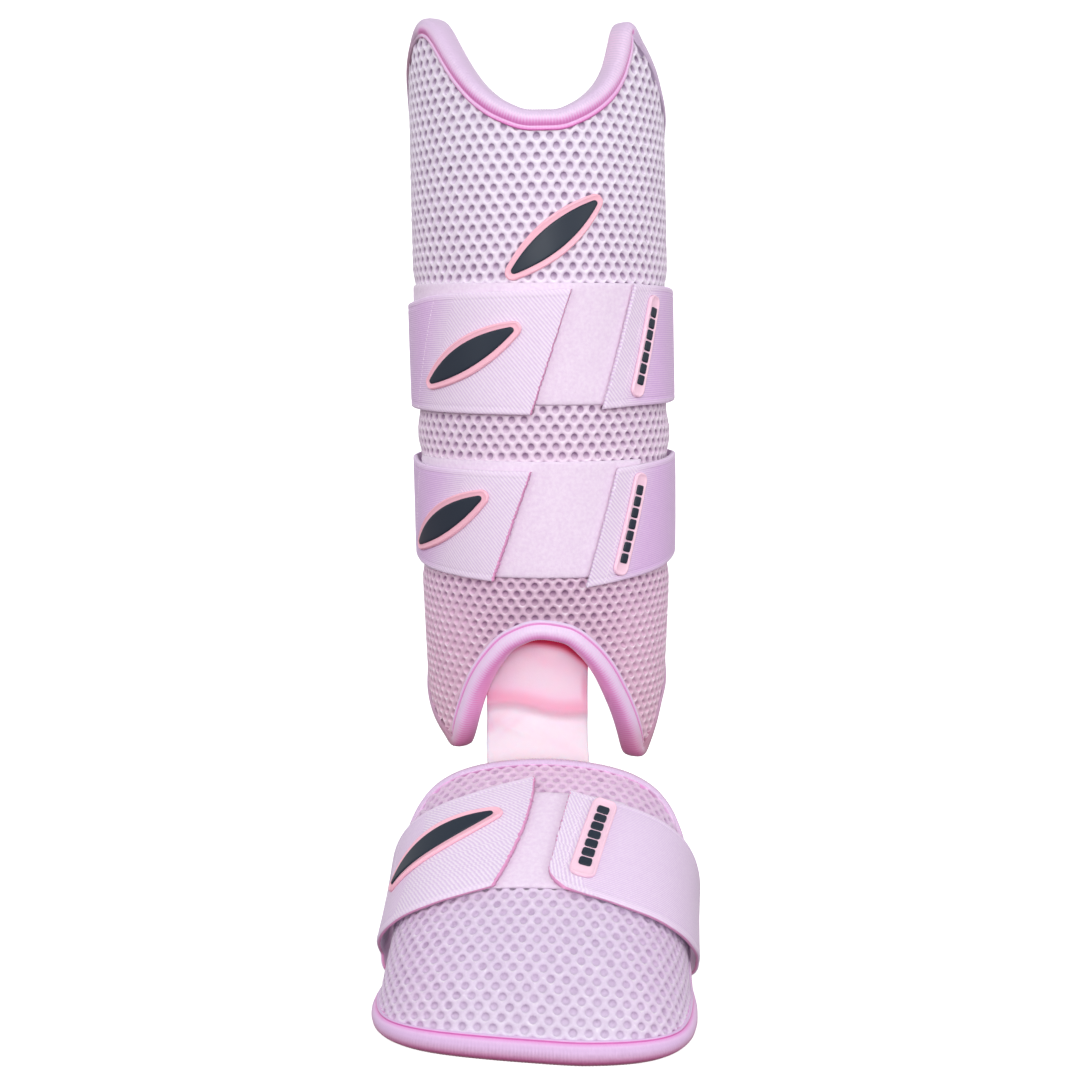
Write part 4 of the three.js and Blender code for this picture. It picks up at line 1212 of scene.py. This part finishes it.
def foot_strap(name, node_name):
    width = FOOT_STRAP_WIDTH
    t = across_shares(width)[:, None]
    over = 1 - np.cos(np.linspace(0, math.pi / 2, 64))[None]
    under = np.linspace(0, 1, 60)[None, 1:-1]
    bow = 4 * FOOT_STRAP_ENDS["left_bow"] * t * (1 - t)
    left_start = mix(*FOOT_STRAP_ENDS["left"], t) + bow + scallops(t, width)
    right_stop = mix(*FOOT_STRAP_ENDS["right"], t) - scallops(t, width)
    from_corner = np.clip(1 - width * t / FOOT_STRAP_CORNER, 0, 1)
    right_stop = right_stop + FOOT_STRAP_CORNER * (1 - np.sqrt(1 - from_corner ** 2))
    left_angle = mix(left_start, -FOOT_STRAP_SIDE, over)
    right_angle = mix(FOOT_STRAP_SIDE, right_stop, 1 - over[:, ::-1])
    left = foot_strap_over(FOOT_STRAP_LEFT, left_angle, np.broadcast_to(t, left_angle.shape))
    right = foot_strap_over(FOOT_STRAP_RIGHT, right_angle, np.broadcast_to(t, right_angle.shape))
    wide = np.broadcast_to(under, (len(t), under.shape[1]))
    sole = foot_strap_under(wide, np.broadcast_to(t, wide.shape))
    skin = np.concatenate([left, sole, right], axis=1)
    steps = np.linalg.norm(np.diff(skin, axis=1), axis=-1)
    run = np.concatenate([np.zeros((len(t), 1)), np.cumsum(steps, axis=1)], axis=1)
    back = run[:, -1:] - run
    skin = skin - normals_of(skin) * end_curl(run, back)[..., None]
    left_tab, right_tab = (1 - smooth(way, *fade) for way, fade in zip((run, back), FOOT_TWILLS))
    tab = np.clip(FOOT_STRAP_PALE + left_tab + right_tab, 0, 1)
    strap_mesh(name, skin, run, width, tab, node_name, FOOT_SEAMS, 1)


shin_strap("upper_elastic", UPPER_STRAP, "upper_strap", (44, 70))
shin_strap("lower_elastic", LOWER_STRAP, "lower_strap", (22, 48))
foot_strap("foot_elastic", "foot_strap")


# Tongue: a soft strip with a fold across it below the arch
TONGUE_BACK_PIT = 0.35
TONGUE_EDGE = (0.35, 1.2)
FOLD_RISE = 2.2
FOLD_WIDTHS = (5.5, 2.0)
DIP_DEPTH = 1.4
DIP_BELOW = 4.5
DIP_WIDTH = 2.4
TONGUE_CREASES = rows("rise slant at width side spread", [
    (0.8, -9, 84.0, 1.6, -0.45, 0.35), (0.7, 12, 68.0, 1.8, -0.7, 0.3), (0.5, 7, 52.0, 2.5, 0.3, 0.4),
])
FOLD_CREASE_SHADE = rows("rise slant at width side spread", [
    (0.16, 16, 70.5, 1.8, -0.5, 0.3), (0.12, -10, 83.0, 2.5, 0.5, 0.35),
])
UPPER_FLUSH = rows("rise slant at width side spread", [(0.2, -8, 50.0, 4.0, 0.15, 0.5)])
TONGUE_PIT = 0.2
PALE_BELOW = 3
FOLD_PIT = 0.45
FOLD_SHADE = (-1.5, 4.5)
LEFT_FLUSH = 0.35
RIGHT_EDGE_PIT = 0.62
RIGHT_EDGE = (0.93, 0.12)
RIGHT_EDGE_RUN = (46, 64)
ARCH_SHADE = (4.0, 8.5)


def streaks(table, run, side):
    """Sum of soft streaks that run across the tongue at a slant."""
    total = 0 * run
    for row in table:
        ridge = bump(run + row["slant"] * side, row["at"], row["width"])
        total = total + row["rise"] * ridge * bump(side, row["side"], row["spread"])
    return total


def fold_line(side):
    """How far down the tongue its fold runs, for sides from -1 at its left edge to 1 at its right."""
    return 70.5 + 2.4 * side + 0.8 * side ** 2 + 0.9 * np.sin(4 * side)


def fold_out(run, fold_at):
    """How far the fold stands out, with a dip below it."""
    ridge = FOLD_RISE * bump(run, fold_at, np.where(run < fold_at, *FOLD_WIDTHS))
    return ridge - DIP_DEPTH * bump(run, fold_at + DIP_BELOW, DIP_WIDTH)


def tongue_pit(run, side, fold_at, below_arch):
    """Depth of colour on the tongue's face: painted shade along the fold and its creases, paler below it
    where it faces up (painted light), deepest painted shade under the arch.
    """
    pit = mix(TONGUE_PIT, 0.0, smooth(run, fold_at, fold_at + PALE_BELOW))
    pit += FOLD_PIT * bump(run, fold_at + FOLD_SHADE[0], FOLD_SHADE[1])
    pit += LEFT_FLUSH * bump(run + 4 * side, fold_at + 5.5, 2.4) * bump(side, -0.95, 0.35)
    pit += streaks(FOLD_CREASE_SHADE, run, side)
    right_edge = bump(side, *RIGHT_EDGE) * plateau(run, *RIGHT_EDGE_RUN, fold_at, fold_at + 2)
    pit = np.maximum(pit, RIGHT_EDGE_PIT * right_edge) + streaks(UPPER_FLUSH, run, side)
    return np.clip(mix(1, pit, smooth(below_arch, *ARCH_SHADE)), 0, 1)


def tongue():
    path = {key: column(TONGUE_PATH, "run", key) for key in ("x", "y", "z", "bow", "bow_x")}
    runs = np.linspace(0, TONGUE_PATH[-1]["run"], 170)
    run, side = np.meshgrid(runs, np.linspace(-1, 1, 64), indexing="ij")
    x = path["x"](run) + side * TONGUE_HALF_WIDTH
    away = (x - path["bow_x"](run)) / TONGUE_HALF_WIDTH
    rise = path["z"](run + 1) - path["z"](run - 1)
    forward = path["y"](run + 1) - path["y"](run - 1)
    length = np.hypot(rise, forward)
    fold_at = fold_line(side)
    back = path["bow"](run) * away ** 2 - fold_out(run, fold_at) - streaks(TONGUE_CREASES, run, side)
    skin = np.stack([x, path["y"](run) - back * rise / length, path["z"](run) + back * forward / length], -1)
    normal = normals_of(skin)
    soft = rounded((1 - np.abs(side)) * TONGUE_HALF_WIDTH, *TONGUE_EDGE)
    points, faces = slab(skin + normal * soft[..., None], skin + normal * TONGUE_THICKNESS)
    pit = tongue_pit(run, side, fold_at, shin.lower(x) - skin[..., 2]).ravel()
    # The back keeps only a light share of the front's painted shade
    behind = np.minimum(pit, TONGUE_BACK_PIT)
    obj = make("soft_tongue", points, faces, [salmon], pit=np.concatenate([pit, behind]))
    own(obj, "tongue", "tongue")


tongue()


# Badges and labels: moulded bases with a raised rim, and black inlays that follow the surface
EMBLEM_INSETS = np.array([0, 0.15, 0.35, 0.6, 0.9, 1.2, 1.6])[:, None]
EMBLEM_COLUMNS = 70
BASE_HEIGHT = 1.1
BASE_EDGE = (0.5, 0.15)
RIM_HEIGHT = 0.45
RIM = (0.75, 0.5)
INLAY_HEIGHT = 1.75
INLAY_EDGE = (0.4, 0.2)


def emblem(place, turn, length, half, top_of, bottom, middle=0.0):
    """Closed slab with a long outline: half gives its half height by distance from the middle."""
    x = np.sin(np.linspace(-1, 1, EMBLEM_COLUMNS) * math.pi / 2) * length / 2
    tall = half(np.abs(x))
    count = len(EMBLEM_INSETS)
    upper = tall - np.minimum(EMBLEM_INSETS, tall * np.arange(count)[:, None] / (count + 1))
    y = np.concatenate([-upper, 0 * x[None], upper[::-1]])
    flat_x = np.broadcast_to(x, y.shape)
    from_edge = np.minimum(tall - np.abs(y), length / 2 - np.abs(flat_x))
    along = flat_x + middle
    cosine = math.cos(turn * RAD)
    sine = math.sin(turn * RAD)
    across = along * cosine - y * sine
    up = along * sine + y * cosine
    return slab(place(across, up, bottom + 0 * y), place(across, up, top_of(from_edge)))


def lozenge(length, middle, end):
    def half(x):
        share = x / (length / 2)
        blunt = np.sqrt(1 - np.clip((x - length / 2 + end) / (end * 1.05), 0, 1) ** 2)
        return (end + (middle - end) * (1 - share ** 2)) * blunt

    return half


def capsule(length, half_height, power):
    def half(x):
        share = np.clip((x - length / 2 + half_height) / half_height, 0, 0.995)
        return half_height * (1 - share ** power) ** (1 / power)

    return half


def on_shin(angle, height, over):
    def place(across, up, out):
        here = angle + across / shin_spread(np.array(angle))
        return shin_point(here, height + up, over(here) + out)

    return place


def on_foot(angle, down):
    def place(across, up, out):
        here = angle + across / foot_spread(np.array(angle))
        return foot_point(here, down - up, foot_strap_lift(here) + STRAP_THICKNESS + out)

    return place


def over_panel(angle):
    return 0 * angle


def over_strap(angle):
    return strap_lift(turn_from_front(angle)) + STRAP_THICKNESS


def base_top(from_edge):
    return BASE_HEIGHT + RIM_HEIGHT * bump(from_edge, *RIM) - rounded(from_edge, *BASE_EDGE)


def inlay_top(from_edge):
    return INLAY_HEIGHT - rounded(from_edge, *INLAY_EDGE)


BADGE = dict(length=52, middle=7.7, end=2.2)
BADGE_INLAY = dict(length=46, middle=5.0, end=0.9)
SHIN_LABEL = dict(base=(44, 3.5), bar=(34, 1.7), power=2.0)
FOOT_LABEL = dict(base=(42, 5.0), bar=(33, 2.4), power=3.0)
BLOCK_POWER = 5.0
EMBLEM_REST = 0.1
INLAY_REST = 0.8
BAR_BLOCKS = 7
BAR_GAP = 0.7


def badge(name, place, turn):
    points, faces = emblem(place, turn, BADGE["length"], lozenge(**BADGE), base_top, EMBLEM_REST)
    own(make(name, points, faces, [badge_pink]), "badge", name)
    points, faces = emblem(place, turn, BADGE_INLAY["length"], lozenge(**BADGE_INLAY), inlay_top, INLAY_REST)
    own(make(name + "_black", points, faces, [badge_black]), "inlay", name + "_inlay")


def label(name, place, turn, base, bar, power):
    """Label base and its bar, cut into equal blocks; base and bar give a length and a half height."""
    points, faces = emblem(place, turn, base[0], capsule(*base, power), base_top, EMBLEM_REST)
    own(make(name, points, faces, [label_pink]), "badge", name)
    step = bar[0] / BAR_BLOCKS
    all_points = []
    all_faces = []
    for k in range(BAR_BLOCKS):
        middle = (k + 0.5) * step - bar[0] / 2
        size = (step - BAR_GAP, bar[1])
        half = capsule(*size, BLOCK_POWER)
        points, faces = emblem(place, turn, size[0], half, inlay_top, INLAY_REST, middle)
        all_faces.append(faces + k * len(points))
        all_points.append(points)
    obj = make(name + "_black", np.concatenate(all_points), np.concatenate(all_faces), [badge_black])
    own(obj, "inlay", name + "_bar")


badge("shin_badge", on_shin(6.5, 62.5, over_panel), 39)
badge("upper_strap_badge", on_shin(-31, 14.5, over_strap), 29)
badge("lower_strap_badge", on_shin(-46, -54.5, over_strap), 29)
badge("foot_strap_badge", on_foot(-38, 49), 23)
label("upper_strap_label", on_shin(46.8, 18.4, over_strap), 72.5, **SHIN_LABEL)
label("lower_strap_label", on_shin(37, -55.2, over_strap), 74, **SHIN_LABEL)
label("foot_strap_label", on_foot(18.5, 50.5), 78, **FOOT_LABEL)


# Stage: a white floor that curves up behind, soft light, and the photograph's viewpoint
STAGE_ROWS = 60
STAGE_LENGTH = 4200
STAGE_FRONT = -1500
STAGE_SIDES = (-2500.0, 2500.0)
STAGE_BEND = (0.45, 0.7)


def stage():
    start, stop = STAGE_BEND
    turn = np.clip((np.linspace(0, 1, STAGE_ROWS) - start) / (stop - start), 0, 1) * math.pi / 2
    step = STAGE_LENGTH / (STAGE_ROWS - 1)
    y = STAGE_FRONT + running(np.cos(turn[1:]) * step)
    z = FLOOR_HEIGHT + running(np.sin(turn[1:]) * step)
    x = np.array(STAGE_SIDES)
    grid = np.stack(np.broadcast_arrays(x[None], y[:, None], z[:, None]), -1)
    white = new_material("white_stage", (0.9, 0.9, 0.9, 1), 0.9)
    set_shader(white, {"Emission Color": (1, 1, 1, 1), "Emission Strength": 0.8})
    obj = make("floor", grid.reshape(-1, 3), grid_faces(STAGE_ROWS, 2), [white])
    obj.visible_diffuse = False
    obj.visible_glossy = False
    obj.visible_shadow = False


def lamp(name, place, aim, size, power, spread):
    """Round lamp at a place in metres, turned to its aim."""
    data = bpy.data.lights.new(name, "AREA")
    data.shape = "DISK"
    data.size = size
    data.energy = power
    data.spread = spread * RAD
    obj = bpy.data.objects.new(name, data)
    obj.location = place
    heading = np.array(aim) - np.array(place)
    flat = math.hypot(heading[0], heading[1])
    obj.rotation_euler = (math.atan2(flat, -heading[2]), 0, math.atan2(-heading[0], heading[1]))
    bpy.context.collection.objects.link(obj)


CAMERA_LENS = 64.4
CAMERA_PLACE = (0, -0.85, 0.025)
CAMERA_TILT = 6.2


def camera():
    data = bpy.data.cameras.new("camera")
    data.sensor_width = 36.0
    data.lens = CAMERA_LENS
    obj = bpy.data.objects.new("camera", data)
    obj.location = CAMERA_PLACE
    obj.rotation_euler = ((90 - CAMERA_TILT) * RAD, 0, 0)
    bpy.context.collection.objects.link(obj)
    bpy.context.scene.camera = obj


def surroundings():
    """Light from all round: white above, dim and warm below."""
    world = bpy.data.worlds.new("world")
    world.use_nodes = True
    height = height_of(world, node(world, "ShaderNodeTexCoord", {}).outputs["Generated"])
    sky = ramp(world, add_part(world, height, 0.5, 0.5), SKY_STOPS)
    feed(world, world.node_tree.nodes["Background"], {"Color": sky, "Strength": SKY_STRENGTH})
    bpy.context.scene.world = world


SKY_STOPS = (
    (0.0, (0.06, 0.035, 0.045, 1)), (0.42, (0.3, 0.2, 0.24, 1)),
    (0.54, (0.92, 0.9, 0.94, 1)), (1.0, (0.42, 0.42, 0.44, 1)),
)
SKY_STRENGTH = 1.0
stage()
lamp("key", (0.0, -1.0, 0.25), (0, -0.05, 0.02), 0.5, 1.15, 90)
lamp("right_fill", (0.85, -0.8, 0.2), (0, 0, -0.03), 0.6, 1.3, 140)
lamp("left_fill", (-0.9, -0.7, 0.2), (0, 0, -0.03), 0.6, 0.8, 140)
camera()
surroundings()
bpy.context.scene.view_settings.view_transform = "Standard"
